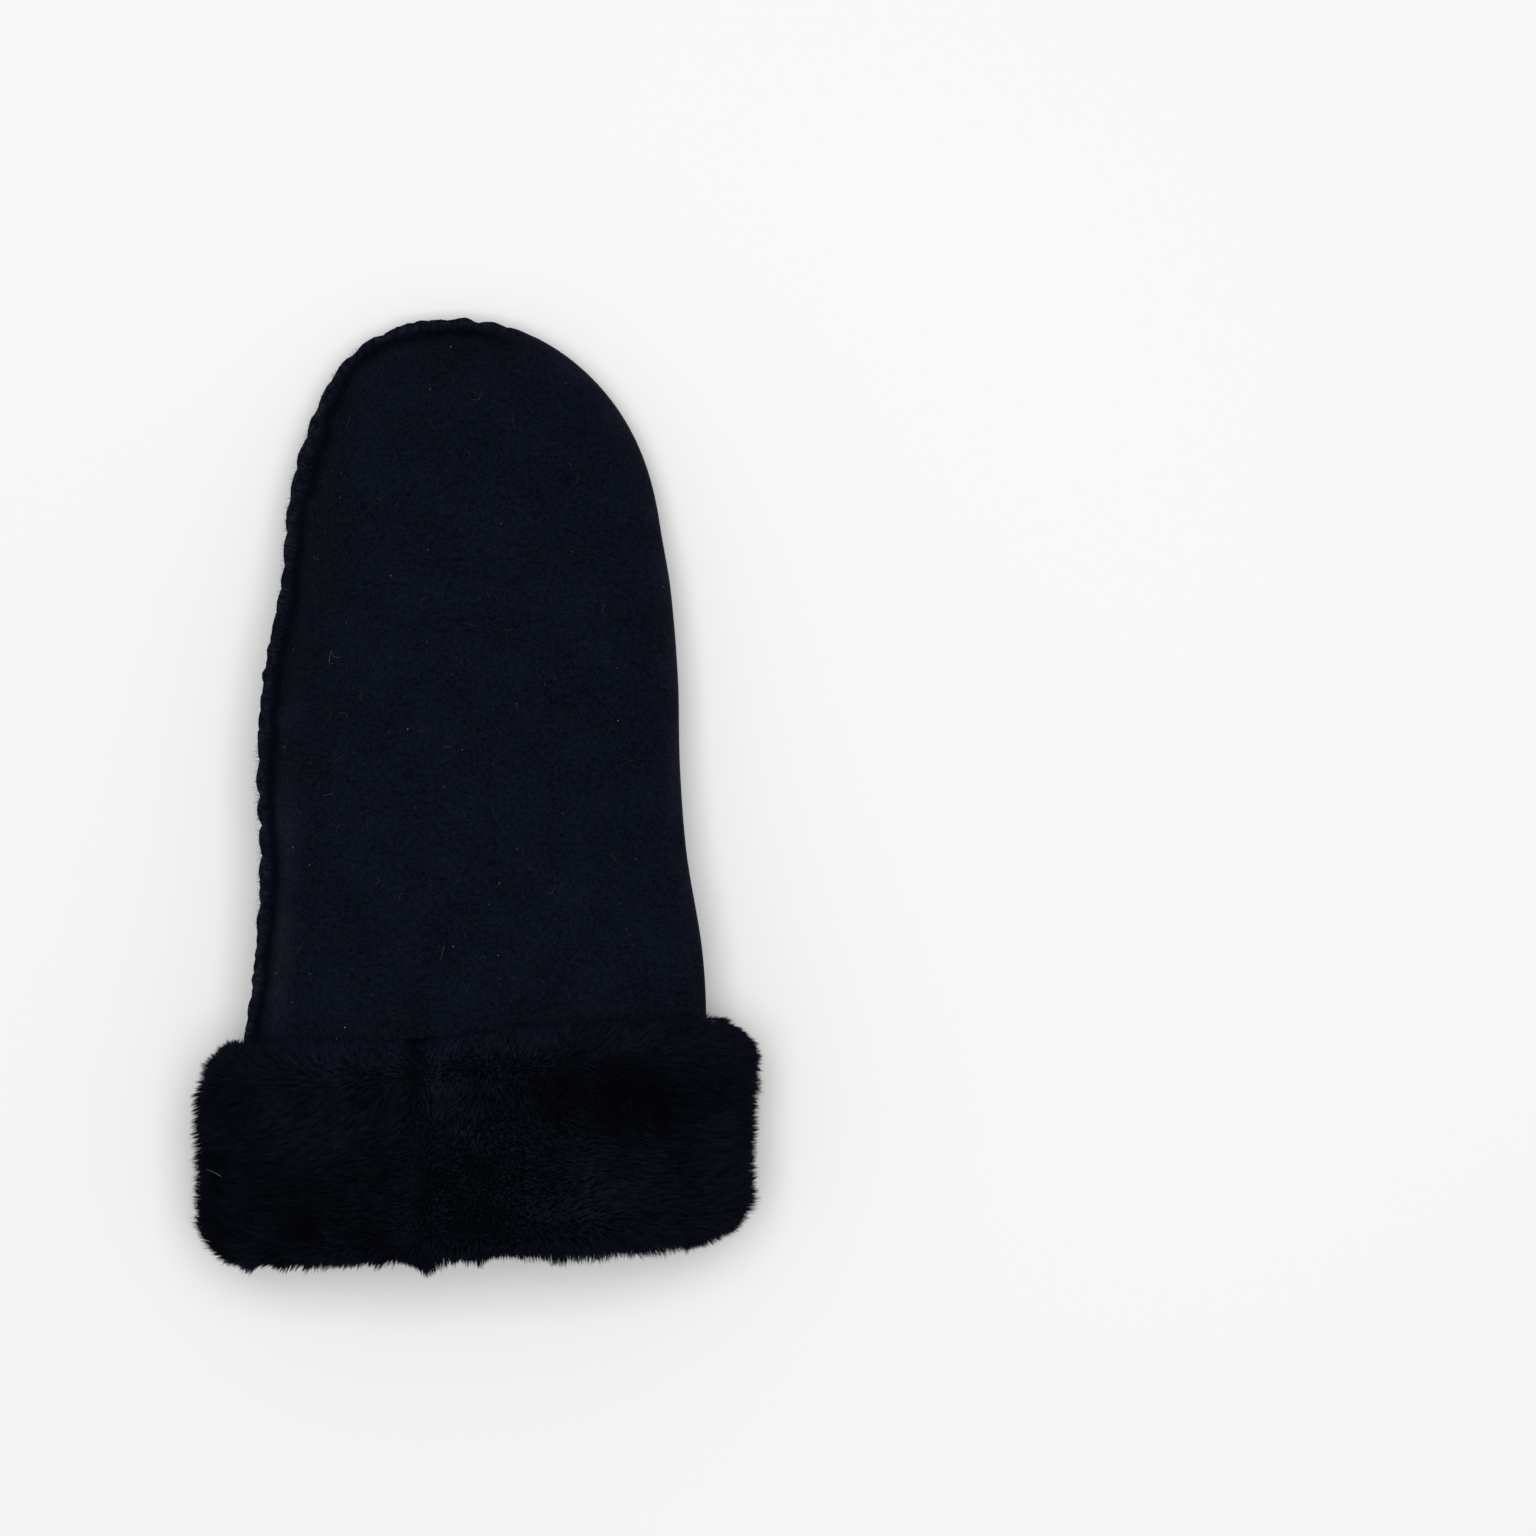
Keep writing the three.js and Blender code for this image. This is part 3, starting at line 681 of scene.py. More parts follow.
# %% The pelt's body
PELT_SHARE = 0.5
pelt_u = np.linspace(0, 1, 56)
way = np.linspace(0, 1, 181)[:-1]
turns = np.interp(way, ROUND_SHARE, ROUND_TURN)[:, None]
fur_side = cuff_point(turns, pelt_u[None, :], PELT_SHARE)
inner_y = np.concatenate([np.linspace(CUFF_TURN_IN, MOUTH, 8), np.linspace(MOUTH, CUFF_HEIGHT, 16)])
inner_grow = np.concatenate([np.full(8, LINING), np.full(16, CUFF_EASE)])
skin_side = wrist_point(turns, inner_y[None, :], inner_grow[None, :])
ring = np.concatenate([fur_side, skin_side], axis=1)
ring[..., 2] = np.maximum(ring[..., 2], FLOOR_GAP + 0.25)
ring = np.concatenate([ring, ring[:, :1]], axis=1)
rows, columns = ring.shape[:2]
points, quads = welded(ring.reshape(-1, 3), grid_faces(rows, columns, closed=True)[:, ::-1])
# The pelt's body stays dark, a quarter of the way to the tips' colour: painted shade deep in the fur.
pelt_tone = 0.25 + 0 * points[:, 0]
cuff_pelt = make_piece(
    "cuff_pelt", points, without_slivers(quads), "fur_cuff", "fur", tone=pelt_tone
)

# %% [markdown]
# ## How the fur lies
# Fur is combed by use: near the cut edge it lies a little to the right, at the sides it
# spreads outwards, and below it hangs over the mouth. The strip's two ends meet in a join on the
# back, and the fur parts there. Neighbouring hairs also cling together in small locks, which is
# what makes an edge of fur look tufted and not like a brush.

# %% The lie of the fur
PARTING_X = -0.15 * PALM_WIDTH
PARTING_LEAN = 0.11
PARTING_WIDTH = 5.0
CUFF_MIDDLE = np.array([0.0, 22.0])
CUFF_HALF = np.array([78.0, 34.0])
TUFT = 1.1
LOCK = 5.0


def patch(points, x, y, wide, high):
    """A soft oval mask about (x, y): 1 in its middle, falling to 0 as a bell does."""
    off = ((points[..., 0] - x) / wide) ** 2 + ((points[..., 1] - y) / high) ** 2
    return np.exp(-off)


def fur_lie(points):
    """How far hair tips are combed aside over points of the cuff, in millimetres: outwards from
    its middle, up over the hand near the cut edge, away from the parting, and a little anyhow."""
    out = (points[..., :2] - CUFF_MIDDLE) / CUFF_HALF
    lie = np.zeros(points.shape)
    lie[..., :2] = [1.5, 0.8] * np.sign(out) * np.abs(out) ** 1.6
    near_edge = smooth_step(points[..., 1], 34.0, 54.0)
    lie[..., 0] += 1.2 * near_edge
    lie[..., 1] += 3.2 * patch(points, -58.0, -8.0, 24.0, 12.0)
    lie[..., 1] += 1.6 * patch(points, -75.0, -6.0, 9.0, 12.0)
    lie[..., 1] -= 1.5 * patch(points, 50.0, -6.0, 18.0, 10.0)
    lie[..., 1] -= 3.2 * patch(points, -11.5, -11.0, 3.0, 6.0)
    lie[..., 1] -= 4.5 * patch(points, 76.0, 58.0, 14.0, 12.0)
    lie[..., 1] -= 2.5 * patch(points, -12.0, 52.0, 24.0, 14.0)
    off = (points[..., 0] - PARTING_X - PARTING_LEAN * points[..., 1]) / PARTING_WIDTH
    lie[..., 0] += 2.2 * off * np.exp(0.5 - off * off) * (points[..., 2] > 25)
    for axis in (0, 1):
        lie[..., axis] += 1.3 * soft_noise(points, 12.0, 70 + axis)
        lie[..., axis] += 0.8 * soft_noise(points, 5.0, 80 + axis)
    at_mouth = 1 - smooth_step(points[..., 1], -6.0, 8.0)
    lie[..., 1] += at_mouth * (2.0 * soft_noise(points, 3.4, 85) + soft_noise(points, 1.5, 86))
    return lie


def hair_tip(turn, u, reach):
    """Where a hair's tip ends: on the fur's outer form, combed aside, no lower than the table."""
    tip = cuff_point(turn, u, reach)
    tip = tip + fur_lie(tip)
    off = (tip[..., 0] - PARTING_X - PARTING_LEAN * tip[..., 1]) / PARTING_WIDTH
    tip[..., 2] -= 2.4 * np.exp(-off * off) * (tip[..., 2] > 25)
    return tip


def nearest_middle(way, u, size, seed):
    """The nearest lock's middle to each hair, and a number from 0 to 1 of that lock's own. One
    middle lies in each square of a grid, anywhere in it, so the locks have no rows."""
    step = np.array([size / CUFF_ROUND, size / FUR_LENGTH])
    place = np.stack([way, u], axis=1) / step
    cell = np.floor(place).astype(int)
    draws = np.random.default_rng(seed).uniform(0, 1, (256, 256, 3))
    nearest = np.full(len(way), 9.0)
    middle, own = place.copy(), np.zeros(len(way))
    for shift in np.ndindex(3, 3):
        near = cell + shift - 1
        draw = draws[near[:, 0] % 256, near[:, 1] % 256]
        spot = near + draw[:, :2]
        gap = np.linalg.norm(spot - place, axis=1)
        closer = gap < nearest
        nearest = np.where(closer, gap, nearest)
        middle = np.where(closer[:, None], spot, middle)
        own = np.where(closer, draw[:, 2], own)
    return middle[:, 0] * step[0], middle[:, 1] * step[1], own


def hairs(count, turns, places, seed, longer=0.0):
    """Roots and tips of count hairs between two turns and two places along the section, and a
    number of each hair's tuft. A tip is drawn towards the tips of the middles of its small tuft
    and its large lock, and the tufts differ in length. Some hairs can be longer than the rest."""
    random = np.random.default_rng(seed)
    way = random.uniform(*turns, count)
    u = random.uniform(*places, count)
    tuft_way, tuft_u, tuft = nearest_middle(way, u, TUFT, 500)
    lock_way, lock_u, lock = nearest_middle(way, u, LOCK, 501)
    reach = 0.86 + 0.16 * tuft + 0.1 * lock
    root_turn, tuft_turn, lock_turn = (
        np.interp(spot % 1.0, ROUND_SHARE, ROUND_TURN) for spot in (way, tuft_way, lock_way)
    )
    root = cuff_point(root_turn, u, PELT_SHARE - 0.12)
    over = random.uniform(0.3, 1.0, count) * longer
    own_tip = hair_tip(root_turn, u, reach + over + random.normal(0.0, 0.06, count))
    own_tip += random.normal(0.0, 0.3, (count, 3))
    tuft_tip = hair_tip(tuft_turn, tuft_u, reach)
    lock_tip = hair_tip(lock_turn, lock_u, reach)
    to_tuft = random.uniform(0.3, 0.75, count)[:, None]
    to_lock = random.uniform(0.0, 0.2, count)[:, None]
    tip = own_tip + (tuft_tip - own_tip) * to_tuft
    tip = tip + (lock_tip - own_tip) * to_lock
    tip[:, 2] = np.maximum(tip[:, 2], random.uniform(0.2, 1.4, count))
    root[:, 2] = np.maximum(root[:, 2], 0.4)
    return root, tip, tuft


def spikes(roots, tips, width, seed):
    """Slim closed pyramids with a three-cornered foot, from roots to tips. Returns points and
    triangles."""
    along = tips - roots
    along /= np.linalg.norm(along, axis=1, keepdims=True)
    helper = np.where(np.abs(along[:, 2:]) < 0.8, [[0.0, 0.0, 1.0]], [[1.0, 0.0, 0.0]])
    side = np.cross(along, helper)
    side /= np.linalg.norm(side, axis=1, keepdims=True)
    other = np.cross(along, side)
    turn = np.random.default_rng(seed).uniform(0, 2 * math.pi, len(roots))
    foot = []
    for corner in range(3):
        angle = (turn + corner * 2 * math.pi / 3)[:, None]
        foot.append(roots + width / math.sqrt(3) * (np.cos(angle) * side + np.sin(angle) * other))
    points = np.stack([*foot, tips], axis=1).reshape(-1, 3)
    pyramid = np.array([[0, 1, 3], [1, 2, 3], [2, 0, 3], [0, 2, 1]])
    faces = pyramid[None] + 4 * np.arange(len(roots))[:, None, None]
    return points, faces.reshape(-1, 3)


# %% [markdown]
# ## The fur's shades
# Where fur lies flat it shines a little, and where it stands open one looks down into its dark
# depth. Light and hair thickness alone give too little of this, so each hair carries a tone: the
# cuff's broad light and dark areas, times its tuft's own shade, times a little of its own. The
# hairs are split into five pieces, so that no single mesh grows too large to handle.

# %% Light and dark parts of the fur
def fur_tone_sheen_and_shade(points):
    """0 where the fur is darkest, 1 where it is lightest: two patches of painted shade, painted
    shade along the parting, a painted sheen band over the cut edge and the fold, and soft unevenness."""
    tone = 0.5 + 0.16 * soft_noise(points, 9.0, 91) + 0.1 * soft_noise(points, 3.5, 92)
    # Painted shade in two broad dark patches and along the parting, and a painted sheen band near the
    # cut edge and down the fold's side.
    tone -= 0.33 * patch(points, -44.0, 8.0, 27.0, 14.0)
    tone -= 0.5 * patch(points, 44.0, 37.0, 25.0, 11.0)
    tone += 0.12 * patch(points, -36.0, 25.0, 9.0, 12.0) - 0.12 * patch(points, -22.0, 15.0, 4.0, 24.0)
    tone += 0.3 * patch(points, -8.0, 40.0, 3.5, 6.0) - 0.5 * patch(points, -13.0, 50.0, 3.5, 7.0)
    off = (points[..., 0] - PARTING_X - PARTING_LEAN * points[..., 1]) / PARTING_WIDTH
    tone -= 0.2 * np.exp(-4 * off * off) * smooth_step(points[..., 1], 0.0, 30.0)
    tone += 0.3 * smooth_step(points[..., 1], 40.0, 52.0) * (1 - patch(points, 44.0, 44.0, 24.0, 14.0))
    tone += 0.25 * smooth_step(points[..., 0], 62.0, 76.0) + 0.13 * patch(points, 40.0, 2.0, 40.0, 14.0)
    return tone.clip(0.05, 1)


# %% The fur
OUTSIDE_END = float(SECTION_U[19])
MOUTH_END = float(SECTION_U[37])
HAIR_WIDTH = 0.32
FUR_PIECES = {
    "fur_left": (45000, (0.0, 0.19), (0.0, OUTSIDE_END)),
    "fur_middle": (42000, (0.19, 0.34), (0.0, OUTSIDE_END)),
    "fur_right": (45000, (0.34, 0.53), (0.0, OUTSIDE_END)),
    "fur_under": (19000, (0.53, 1.0), (0.0, OUTSIDE_END)),
    "fur_mouth": (34000, (0.0, 1.0), (OUTSIDE_END, MOUTH_END)),
}
for number, (name, (count, turns, places)) in enumerate(FUR_PIECES.items()):
    roots, tips, tuft = hairs(count, turns, places, 200 + number)
    points, faces = spikes(roots, tips, HAIR_WIDTH, 300 + number)
    single = np.random.default_rng(400 + number).uniform(0.6, 1.4, count)
    tone = fur_tone_sheen_and_shade(tips) * (0.58 + 0.9 * tuft) * single
    # Each hair's foot gets a tenth of its tone: painted shade deep in the pile.
    tone = np.outer(tone, [0.1, 0.1, 0.1, 1.0]).ravel()
    make_piece(name, points, [faces], "fur_cuff", "fur", tone=tone)

# %% [markdown]
# ## Guard hairs
# A real pelt has a few longer, thinner hairs over its dense ones. They blur the fur's outline,
# which would otherwise end as if it were clipped. They are the same spikes, only longer.

# %% Longer hairs that stand out of the fur
GUARD_HAIRS = 4200
GUARD_WIDTH = 0.2
GUARD_LONGER = 0.26
round_wrist, over_fur = (0.0, 1.0), (0.0, MOUTH_END)
roots, tips, tuft = hairs(GUARD_HAIRS, round_wrist, over_fur, 210, longer=GUARD_LONGER)
points, faces = spikes(roots, tips, GUARD_WIDTH, 310)
# Guard hairs' feet get a twentieth of their tone: painted shade deep in the pile.
tone = np.outer(fur_tone_sheen_and_shade(tips), [0.05, 0.05, 0.05, 1.0]).ravel()
fur_guard = make_piece("fur_guard", points, [faces], "fur_cuff", "fur", tone=tone)

# %% [markdown]
# ## Thread, wisps and lint
# Thin things are profiles carried along a path: the whip stitches that wrap the seam's two edges,
# and the pale fibres that suede picks up. Each is a closed spindle, round in the middle and pointed
# at both ends. A curve with a bevel would look the same, but it is a mesh only once converted.


# %% Spindles along paths
def spindles(paths, radius, sides, across=(0.0, 0.0, 1.0)):
    """Closed tubes along paths (tubes by points by xyz): a ring of sides corners at each inner
    point, at that radius, and a single point at either end. across is a direction that no path
    takes: each ring is set out square to it and to the path. Returns points and faces."""
    count, steps = paths.shape[:2]
    along = np.gradient(paths, axis=1)
    along /= np.linalg.norm(along, axis=2, keepdims=True)
    side = np.cross(along, across)
    side /= np.linalg.norm(side, axis=2, keepdims=True)
    other = np.cross(side, along)
    turn = np.arange(sides) * 2 * math.pi / sides
    ring = np.cos(turn)[:, None] * side[:, 1:-1, None] + np.sin(turn)[:, None] * other[:, 1:-1, None]
    ring = paths[:, 1:-1, None] + radius * ring
    rings = ring.reshape(count, -1, 3)
    points = np.concatenate([rings, paths[:, :1], paths[:, -1:]], axis=1)
    i, j = np.meshgrid(np.arange(steps - 3), np.arange(sides), indexing="ij")
    a, b = (i * sides + j).ravel(), (i * sides + (j + 1) % sides).ravel()
    quads = np.stack([a, a + sides, b + sides, b], axis=1)
    j = np.arange(sides)
    first, last = (steps - 2) * sides, (steps - 2) * sides + 1
    end = (steps - 3) * sides
    start_fan = np.stack([j, (j + 1) % sides, 0 * j + first], axis=1)
    end_fan = np.stack([end + (j + 1) % sides, end + j, 0 * j + last], axis=1)
    fans = np.concatenate([start_fan, end_fan])
    shift = points.shape[1] * np.arange(count)[:, None, None]
    faces = [(quads[None] + shift).reshape(-1, 4), (fans[None] + shift).reshape(-1, 3)]
    return points.reshape(-1, 3), faces


# %% The seam's stitches
STITCH = 3.3
STITCH_SLANT = 2.6
STITCH_WANDER = 0.8
THREAD = 0.15


def skin_at(ring, places):
    """Points of one ring of the hand's skin at distances along the seam."""
    line = outside[:, ring]
    return np.stack([np.interp(places, along, line[:, axis]) for axis in range(3)], axis=-1)


def over_the_lips(starts):
    """Stitches from the back's groove, over both lips, to the palm's groove. Each follows the
    skin's rings, but spans the gap between the lips, and gains its slant along the seam evenly."""
    from_rim = np.arange(2, len(LIP_IN) + 1)
    rings = BACK_RINGS + np.concatenate([-from_rim[::-1], from_rim])
    gain = STITCH_SLANT * np.linspace(0, 1, len(rings))
    return np.stack([skin_at(ring, starts + ahead) for ring, ahead in zip(rings, gain)], axis=1)


sewn = along[seam > 0.8]
starts = np.arange(sewn[0], sewn[-1] - STITCH, STITCH)
starts = starts + STITCH_WANDER * along_noise(starts, 4.0, 66)
seam_way = skin_at(BACK_RINGS, starts + 1.0) - skin_at(BACK_RINGS, starts)
points, faces = spindles(over_the_lips(starts), THREAD, 4, seam_way[:, None])
seam_thread = make_piece("seam_thread", points, faces, "hand_body", "suede")
print(len(starts), "stitches over the seam's edges")

# %% [markdown]
# ## Stitches along the thumb
# The thumb's skin is folded and closed along its edge with plain running stitches, which come up,
# run a short way and go down again. Each is an arc that rises off the edge and sinks back in it.

# %% The thumb's stitches
rim = thumb_out[:82, THUMB_RINGS]
run = np.concatenate([[0], np.cumsum(np.linalg.norm(np.diff(rim, axis=0), axis=1))])
starts = np.arange(0.5, run[-1] - STITCH, STITCH)
share = np.linspace(0, 1, 7)
places = starts[:, None] + 0.7 * STITCH * share
path = np.stack([np.interp(places, run, rim[:, axis]) for axis in range(3)], axis=-1)
outwards = np.cross(np.gradient(path, axis=1), [0.0, 0.0, 1.0])
outwards /= np.linalg.norm(outwards, axis=2, keepdims=True)
path = path + (0.3 * np.sin(math.pi * share) - 0.12)[None, :, None] * outwards
points, faces = spindles(path, THREAD, 6)
thumb_thread = make_piece("thumb_thread", points, faces, "thumb", "suede")

# %% [markdown]
# ## Wool in the seam
# The two skins are sewn with their wool inwards, and short wisps of it work out between the lips.
# They are the fur's spikes again, set on the rim in the two stretches where the wool shows most.

# %% Wisps of wool at the seam
WISP_WIDTH = 0.13
WISP_STRETCHES = [(86, 134, 150), (176, 250, 190)]
random = np.random.default_rng(61)
wisp_at = np.concatenate([random.uniform(*stretch) for stretch in WISP_STRETCHES])
station = np.searchsorted(along, wisp_at).clip(1, len(along) - 2)
outward = edge[station] - look[station]
outward = np.append(outward / np.hypot(*outward.T)[:, None], np.zeros((len(station), 1)), axis=1)
aside = np.stack([-outward[:, 1], outward[:, 0], outward[:, 2]], axis=1)
roots = outside[station, BACK_RINGS] + random.uniform(-1.0, 1.0, (len(station), 1)) * [0, 0, 1]
length = random.uniform(0.8, 1.6, len(station))[:, None]
lean = random.normal(0, 0.7, (len(station), 1)) * aside
lean = lean + random.normal(0, 0.5, (len(station), 1)) * [0, 0, 1]
tips = roots + (1.9 + length) * (outward + 0.6 * lean) * 0.75
points, faces = spikes(roots, tips, WISP_WIDTH, 62)
even_tone = 0.5 + 0 * points[:, 0]
seam_wisps = make_piece("seam_wisps", points, [faces], "hand_body", "fur", tone=even_tone)


# %% Lint on the back
def back_height(spots):
    """Height of the back over places on the table: its four nearest points, nearer ones more."""
    back = outside[:, :BACK_RINGS].reshape(-1, 3)
    gap = np.hypot(spots[:, :1] - back[:, 0], spots[:, 1:2] - back[:, 1])
    near = np.argpartition(gap, 4, axis=1)[:, :4]
    weight = 1 / (np.take_along_axis(gap, near, axis=1) + 0.01)
    return (back[near, 2] * weight).sum(axis=1) / weight.sum(axis=1)


FIBRES = 150
y = random.uniform(60, 240, FIBRES)
reach = random.uniform(-0.86, 0.9, FIBRES)
hand = hand_at(np.minimum(y, 200))
x = hand["middle"] + reach * np.minimum(hand["left"], 56 - 30 * smooth_step(y, 190, 250))
heading = random.uniform(0, 2 * math.pi, FIBRES)
length = 0.7 + 5.0 * random.uniform(0, 1, FIBRES) ** 3
curl = random.normal(0, 1.8, FIBRES)
share = np.linspace(0, 1, 8)
turned = heading[:, None] + curl[:, None] * share
step = (length / (len(share) - 1))[:, None]
run_x = x[:, None] + np.cumsum(step * np.cos(turned), axis=1)
run_y = y[:, None] + np.cumsum(step * np.sin(turned), axis=1)
path = np.stack([run_x, run_y], axis=-1)
height = back_height(path.reshape(-1, 2)).reshape(FIBRES, -1) + 0.12
points, faces = spindles(np.concatenate([path, height[..., None]], axis=-1), 0.032, 3)
lint = make_piece("lint", points, faces, "hand_body", "suede")

# %% One pale hair on the cuff
share = np.linspace(0, 1, 9)
x = -71.6 + 4.9 * share
y = 16.9 - 2.0 * share + 0.3 * np.sin(math.pi * share)
hair = np.stack([x, y, 38.8 + 2.2 * share], axis=-1)
points, faces = spindles(hair[None], 0.07, 4)
cuff_lint = make_piece("cuff_lint", points, faces, "fur_cuff", "fur")

# %% [markdown]
# ## Suede
# Suede is the flesh side of a skin, raised to a short nap. It scatters light and hardly shines,
# so its specular level is near nothing and its roughness near 1. What the eye sees on it is the
# nap's fine grain, cloudy patches where the nap lies another way, and specks of dust. The grain
# and the dust are node groups, because the raw edges and the thumb need them too.

# %% Node helpers
def node_group(name, inputs, outputs):
    """An empty node group with its float inputs and its outputs, as (group, in, out)."""
    group = bpy.data.node_groups.new(name, "ShaderNodeTree")
    group.interface.new_socket("Vector", in_out="INPUT", socket_type="NodeSocketVector")
    for label, value in inputs.items():
        socket = group.interface.new_socket(label, in_out="INPUT", socket_type="NodeSocketFloat")
        socket.default_value = value
    for label in outputs:
        group.interface.new_socket(label, in_out="OUTPUT", socket_type="NodeSocketFloat")
    return group, group.nodes.new("NodeGroupInput"), group.nodes.new("NodeGroupOutput")


def add_node(tree, kind, inputs=(), **settings):
    """A node with its settings, its inputs linked to sockets or set to values."""
    node = tree.nodes.new(kind)
    for key, value in settings.items():
        setattr(node, key, value)
    for key, value in dict(inputs).items():
        if isinstance(value, bpy.types.NodeSocket):
            tree.links.new(value, node.inputs[key])
        else:
            node.inputs[key].default_value = value
    return node


def math_node(tree, operation, first, second=0.0, third=0.0):
    """The result socket of one sum on sockets or numbers."""
    node = add_node(tree, "ShaderNodeMath", {0: first, 1: second, 2: third}, operation=operation)
    return node.outputs[0]


def ramp(tree, value, low, high, start=0.0, end=1.0):
    """value mapped from low..high to start..end, and kept there."""
    sockets = {"Value": value, 1: low, 2: high, 3: start, 4: end}
    return add_node(tree, "ShaderNodeMapRange", sockets).outputs[0]


def noise(tree, vector, scale, detail=3.0, roughness=0.5):
    """A noise texture's value on a vector."""
    sockets = {"Vector": vector, "Scale": scale, "Detail": detail, "Roughness": roughness}
    return add_node(tree, "ShaderNodeTexNoise", sockets).outputs[0]


# %% Nap and dust as node groups
def nap_group():
    """Grain is the nap's fine unevenness, Clouds where it lies another way, Height both."""
    group, given, result = node_group("Nap", {"Size": 1.0}, ["Grain", "Clouds", "Height"])
    at = add_node(group, "ShaderNodeVectorMath", {0: given.outputs["Vector"]}, operation="SCALE")
    group.links.new(given.outputs["Size"], at.inputs["Scale"])
    spot = at.outputs[0]
    fine = noise(group, spot, 2100.0, 2.0)
    middle = noise(group, spot, 800.0, 2.0, 0.6)
    clouds = noise(group, spot, 60.0, 4.0, 0.6)
    both = math_node(group, "MULTIPLY_ADD", middle, 0.4, math_node(group, "MULTIPLY", fine, 0.6))
    grain = ramp(group, both, 0.36, 0.64)
    height = math_node(group, "MULTIPLY_ADD", clouds, 0.5, both)
    group.links.new(grain, result.inputs["Grain"])
    group.links.new(clouds, result.inputs["Clouds"])
    group.links.new(height, result.inputs["Height"])
    return group


def dust_group():
    """Specks: 1 on small dots scattered over the surface, a few in each square centimetre."""
    group, given, result = node_group("Dust", {"Spacing": 300.0, "Share": 0.1}, ["Specks"])
    sockets = {"Vector": given.outputs["Vector"], "Scale": given.outputs["Spacing"]}
    cells = add_node(group, "ShaderNodeTexVoronoi", sockets)
    near = ramp(group, cells.outputs["Distance"], 0.05, 0.09, 1.0, 0.0)
    pick = add_node(group, "ShaderNodeSeparateColor", {"Color": cells.outputs["Color"]})
    chosen = math_node(group, "LESS_THAN", pick.outputs[0], given.outputs["Share"])
    bright = math_node(group, "POWER", pick.outputs[1], 2.5)
    speck = math_node(group, "MULTIPLY", math_node(group, "MULTIPLY", near, chosen), bright)
    group.links.new(speck, result.inputs["Specks"])
    return group


NAP = nap_group()
DUST = dust_group()
print("node groups:", NAP.name, "and", DUST.name)


# %% Materials
def new_material(name, **values):
    """A material with its Principled BSDF, whose plain values are set on its own sockets."""
    material = bpy.data.materials.new(name)
    material.use_nodes = True
    tree = material.node_tree
    shader = tree.nodes["Principled BSDF"]
    for label, value in values.items():
        shader.inputs[label.replace("_", " ")].default_value = value
    return material, tree, shader


def mix_colours(tree, share, first, second):
    """A colour between two, by a share."""
    sockets = {"Factor": share, 6: first, 7: second}
    return add_node(tree, "ShaderNodeMix", sockets, data_type="RGBA").outputs[2]


def grouped(tree, group, vector, **inputs):
    """A node group placed in a material."""
    node = add_node(tree, "ShaderNodeGroup", node_tree=group)
    tree.links.new(vector, node.inputs["Vector"])
    for label, value in inputs.items():
        node.inputs[label].default_value = value
    return node.outputs


SUEDE_DARK = (0.0008, 0.0016, 0.0038, 1)
SUEDE_LIGHT = (0.0049, 0.0069, 0.0130, 1)
SUEDE_SHEEN = (0.0135, 0.0160, 0.0255, 1)
RAW_EDGE_AND_HIGHLIGHT = (0.017, 0.020, 0.029, 1)
GROOVE_SHADE_AND_INSIDE_DARK = (0.0008, 0.0010, 0.0021, 1)
DUST_WHITE = (0.14, 0.15, 0.17, 1)
suede, tree, shader = new_material(
    "napped_suede",
    Roughness=0.92,
    Specular_IOR_Level=0.02,
    Sheen_Weight=0.06,
    Sheen_Roughness=0.3,
    Sheen_Tint=(0.5, 0.6, 0.9, 1),
)
where = add_node(tree, "ShaderNodeTexCoord").outputs["Object"]
nap = grouped(tree, NAP, where, Size=1.0)
shade = math_node(tree, "MULTIPLY_ADD", nap["Clouds"], 0.8, nap["Grain"])
shade = ramp(tree, shade, 0.4, 1.4)
colour = mix_colours(tree, shade, SUEDE_DARK, SUEDE_LIGHT)
# Painted sheen: where the sheen mark lies, the suede's colour moves towards a paler blue, broken up by
# the nap's clouds.
worn_colour = mix_colours(tree, shade, SUEDE_LIGHT, SUEDE_SHEEN)
worn = add_node(tree, "ShaderNodeAttribute", attribute_name="worn").outputs["Fac"]
sheen_share = math_node(tree, "MULTIPLY", worn, ramp(tree, nap["Clouds"], 0.3, 0.7, 0.1, 0.8))
colour = mix_colours(tree, sheen_share, colour, worn_colour)
# The lips' tops go paler in broken patches, partly the raw edge's frayed fibres and partly a painted
# highlight.
lip = add_node(tree, "ShaderNodeAttribute", attribute_name="lip").outputs["Fac"]
frayed_and_highlit = ramp(tree, noise(tree, where, 420.0, 4.0, 0.75), 0.47, 0.66)
colour = mix_colours(tree, math_node(tree, "MULTIPLY", lip, frayed_and_highlit), colour, RAW_EDGE_AND_HIGHLIGHT)
# Painted shade: the groove is darkened almost to black.
groove = add_node(tree, "ShaderNodeAttribute", attribute_name="groove").outputs["Fac"]
colour = mix_colours(tree, math_node(tree, "MULTIPLY", groove, 0.95), colour, GROOVE_SHADE_AND_INSIDE_DARK)
# The inside skin, where outer is 0, is near-black.
outer = add_node(tree, "ShaderNodeAttribute", attribute_name="outer").outputs["Fac"]
colour = mix_colours(tree, outer, GROOVE_SHADE_AND_INSIDE_DARK, colour)
specks = grouped(tree, DUST, where, Spacing=400.0, Share=0.15)["Specks"]
colour = mix_colours(tree, math_node(tree, "MULTIPLY", specks, outer), colour, DUST_WHITE)
tree.links.new(colour, shader.inputs["Base Color"])
bump = add_node(tree, "ShaderNodeBump", {"Strength": 0.5, "Distance": 0.0004, "Height": nap["Height"]})
tree.links.new(bump.outputs[0], shader.inputs["Normal"])

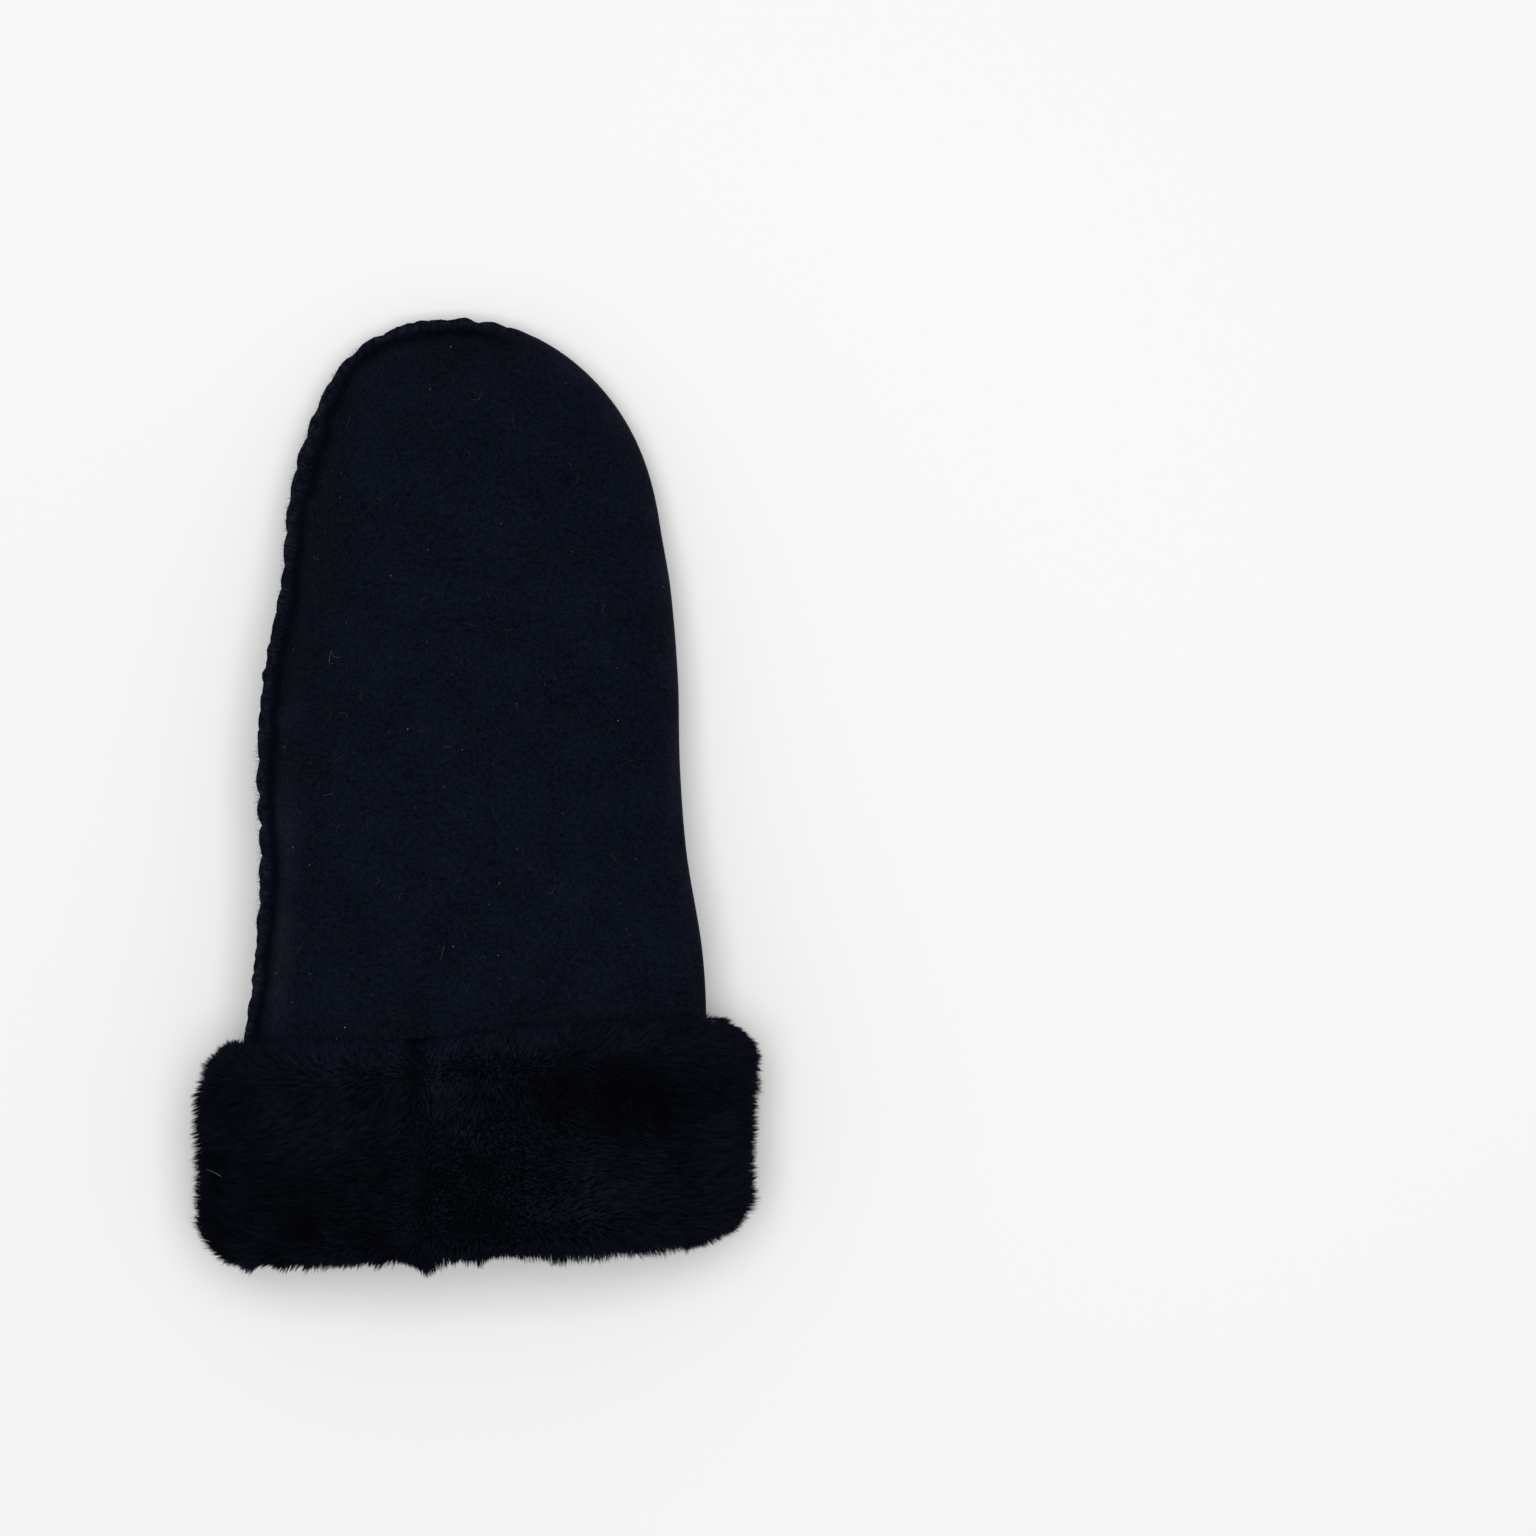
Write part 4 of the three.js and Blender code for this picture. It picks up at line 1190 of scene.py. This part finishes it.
# %% [markdown]
# ## Fur
# The hairs are separate solids, so their material needs no strand pattern: it only goes from
# the painted shade of the pile's depth to the tips, by the tone that each point carries.

# %% The fur's material
FUR_DEEP_SHADE = (0.0007, 0.0009, 0.0018, 1)
FUR_TIP = (0.0102, 0.0139, 0.0285, 1)
fur, tree, shader = new_material("deep_fur", Roughness=0.7, Specular_IOR_Level=0.03)
tone = add_node(tree, "ShaderNodeAttribute", attribute_name="tone").outputs["Fac"]
where = add_node(tree, "ShaderNodeTexCoord").outputs["Object"]
streaks = noise(tree, where, 700.0, 2.0)
shade = math_node(tree, "MULTIPLY", tone, ramp(tree, streaks, 0.3, 0.7, 0.7, 1.3))
tree.links.new(mix_colours(tree, shade, FUR_DEEP_SHADE, FUR_TIP), shader.inputs["Base Color"])

# %% [markdown]
# ## Thread, fibres and wool
# Thread is as dark as the suede, with a twist that shows as a fine change of shade. The picked-up
# fibres are pale and fade in and out along their length, and the wool is an even grey.

# %% Thread and lint
thread, tree, shader = new_material("thread", Roughness=0.8, Specular_IOR_Level=0.03)
where = add_node(tree, "ShaderNodeTexCoord").outputs["Object"]
twist = ramp(tree, noise(tree, where, 2400.0, 1.0), 0.35, 0.65)
colour = mix_colours(tree, twist, (0.0008, 0.0011, 0.0021, 1), (0.0030, 0.0040, 0.0071, 1))
tree.links.new(colour, shader.inputs["Base Color"])

pale_fibre, tree, shader = new_material("pale_fibre", Roughness=0.8, Specular_IOR_Level=0.2)
where = add_node(tree, "ShaderNodeTexCoord").outputs["Object"]
fade = ramp(tree, noise(tree, where, 90.0, 1.0), 0.4, 0.75)
colour = mix_colours(tree, fade, (0.012, 0.015, 0.022, 1), (0.12, 0.135, 0.17, 1))
tree.links.new(colour, shader.inputs["Base Color"])

GREY_WOOL = (0.026, 0.030, 0.041, 1)
wool, tree, shader = new_material("wool", Roughness=0.9, Base_Color=GREY_WOOL)

# %% Give each piece its material
OWN_MATERIAL = {"seam_thread": thread, "thumb_thread": thread, "seam_wisps": wool}
OWN_MATERIAL.update({"lint": pale_fibre, "cuff_lint": pale_fibre})
OWN_MATERIAL.update({"hand_skin": suede, "thumb_skin": suede})
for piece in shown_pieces():
    piece.data.materials.append(OWN_MATERIAL.get(piece.name, fur))
    print(piece.name, "wears", piece.data.materials[0].name)

# %% [markdown]
# ## Stage, light and camera
# The mitten lies on a white sheet, straight under the camera. One broad soft light from above
# and a white world give the soft shadow close round the mitten.

# %% Floor, lights, camera
FLOOR_SIZE = 4.0
floor_mesh = bpy.data.meshes.new("floor")
half = FLOOR_SIZE / 2
corners = [(-half, -half, 0), (half, -half, 0), (half, half, 0), (-half, half, 0)]
floor_mesh.from_pydata(corners, [], [(0, 1, 2, 3)])
floor = bpy.data.objects.new("floor", floor_mesh)
bpy.context.scene.collection.objects.link(floor)
paper, tree, shader = new_material("paper", Roughness=0.9, Specular_IOR_Level=0.1)
shader.inputs["Base Color"].default_value = (0.86, 0.86, 0.86, 1)
floor_mesh.materials.append(paper)

world = bpy.data.worlds.new("studio")
world.use_nodes = True
world.node_tree.nodes["Background"].inputs["Color"].default_value = (1.0, 1.0, 1.0, 1)
world.node_tree.nodes["Background"].inputs["Strength"].default_value = 0.40
bpy.context.scene.world = world

softbox = bpy.data.lights.new("softbox", "AREA")
softbox.shape = "RECTANGLE"
softbox.size, softbox.size_y = 1.5, 1.5
softbox.energy = 25.3
light = bpy.data.objects.new("softbox", softbox)
light.location = (0.1, 0.1, 1.7)
bpy.context.scene.collection.objects.link(light)

CAMERA_HEIGHT = 1.3
VIEW_WIDTH = 0.430
lens = bpy.data.cameras.new("camera")
lens.sensor_fit = "HORIZONTAL"
lens.angle = 2 * math.atan(VIEW_WIDTH / 2 / (CAMERA_HEIGHT - 0.018))
camera = bpy.data.objects.new("camera", lens)
camera.location = (0.0819, 0.0066, CAMERA_HEIGHT)
bpy.context.scene.collection.objects.link(camera)
bpy.context.scene.camera = camera

scene = bpy.context.scene
scene.view_settings.view_transform = "Standard"
scene.view_settings.look = "None"
scene.cycles.use_denoising = True
print("camera sees", VIEW_WIDTH, "m across")
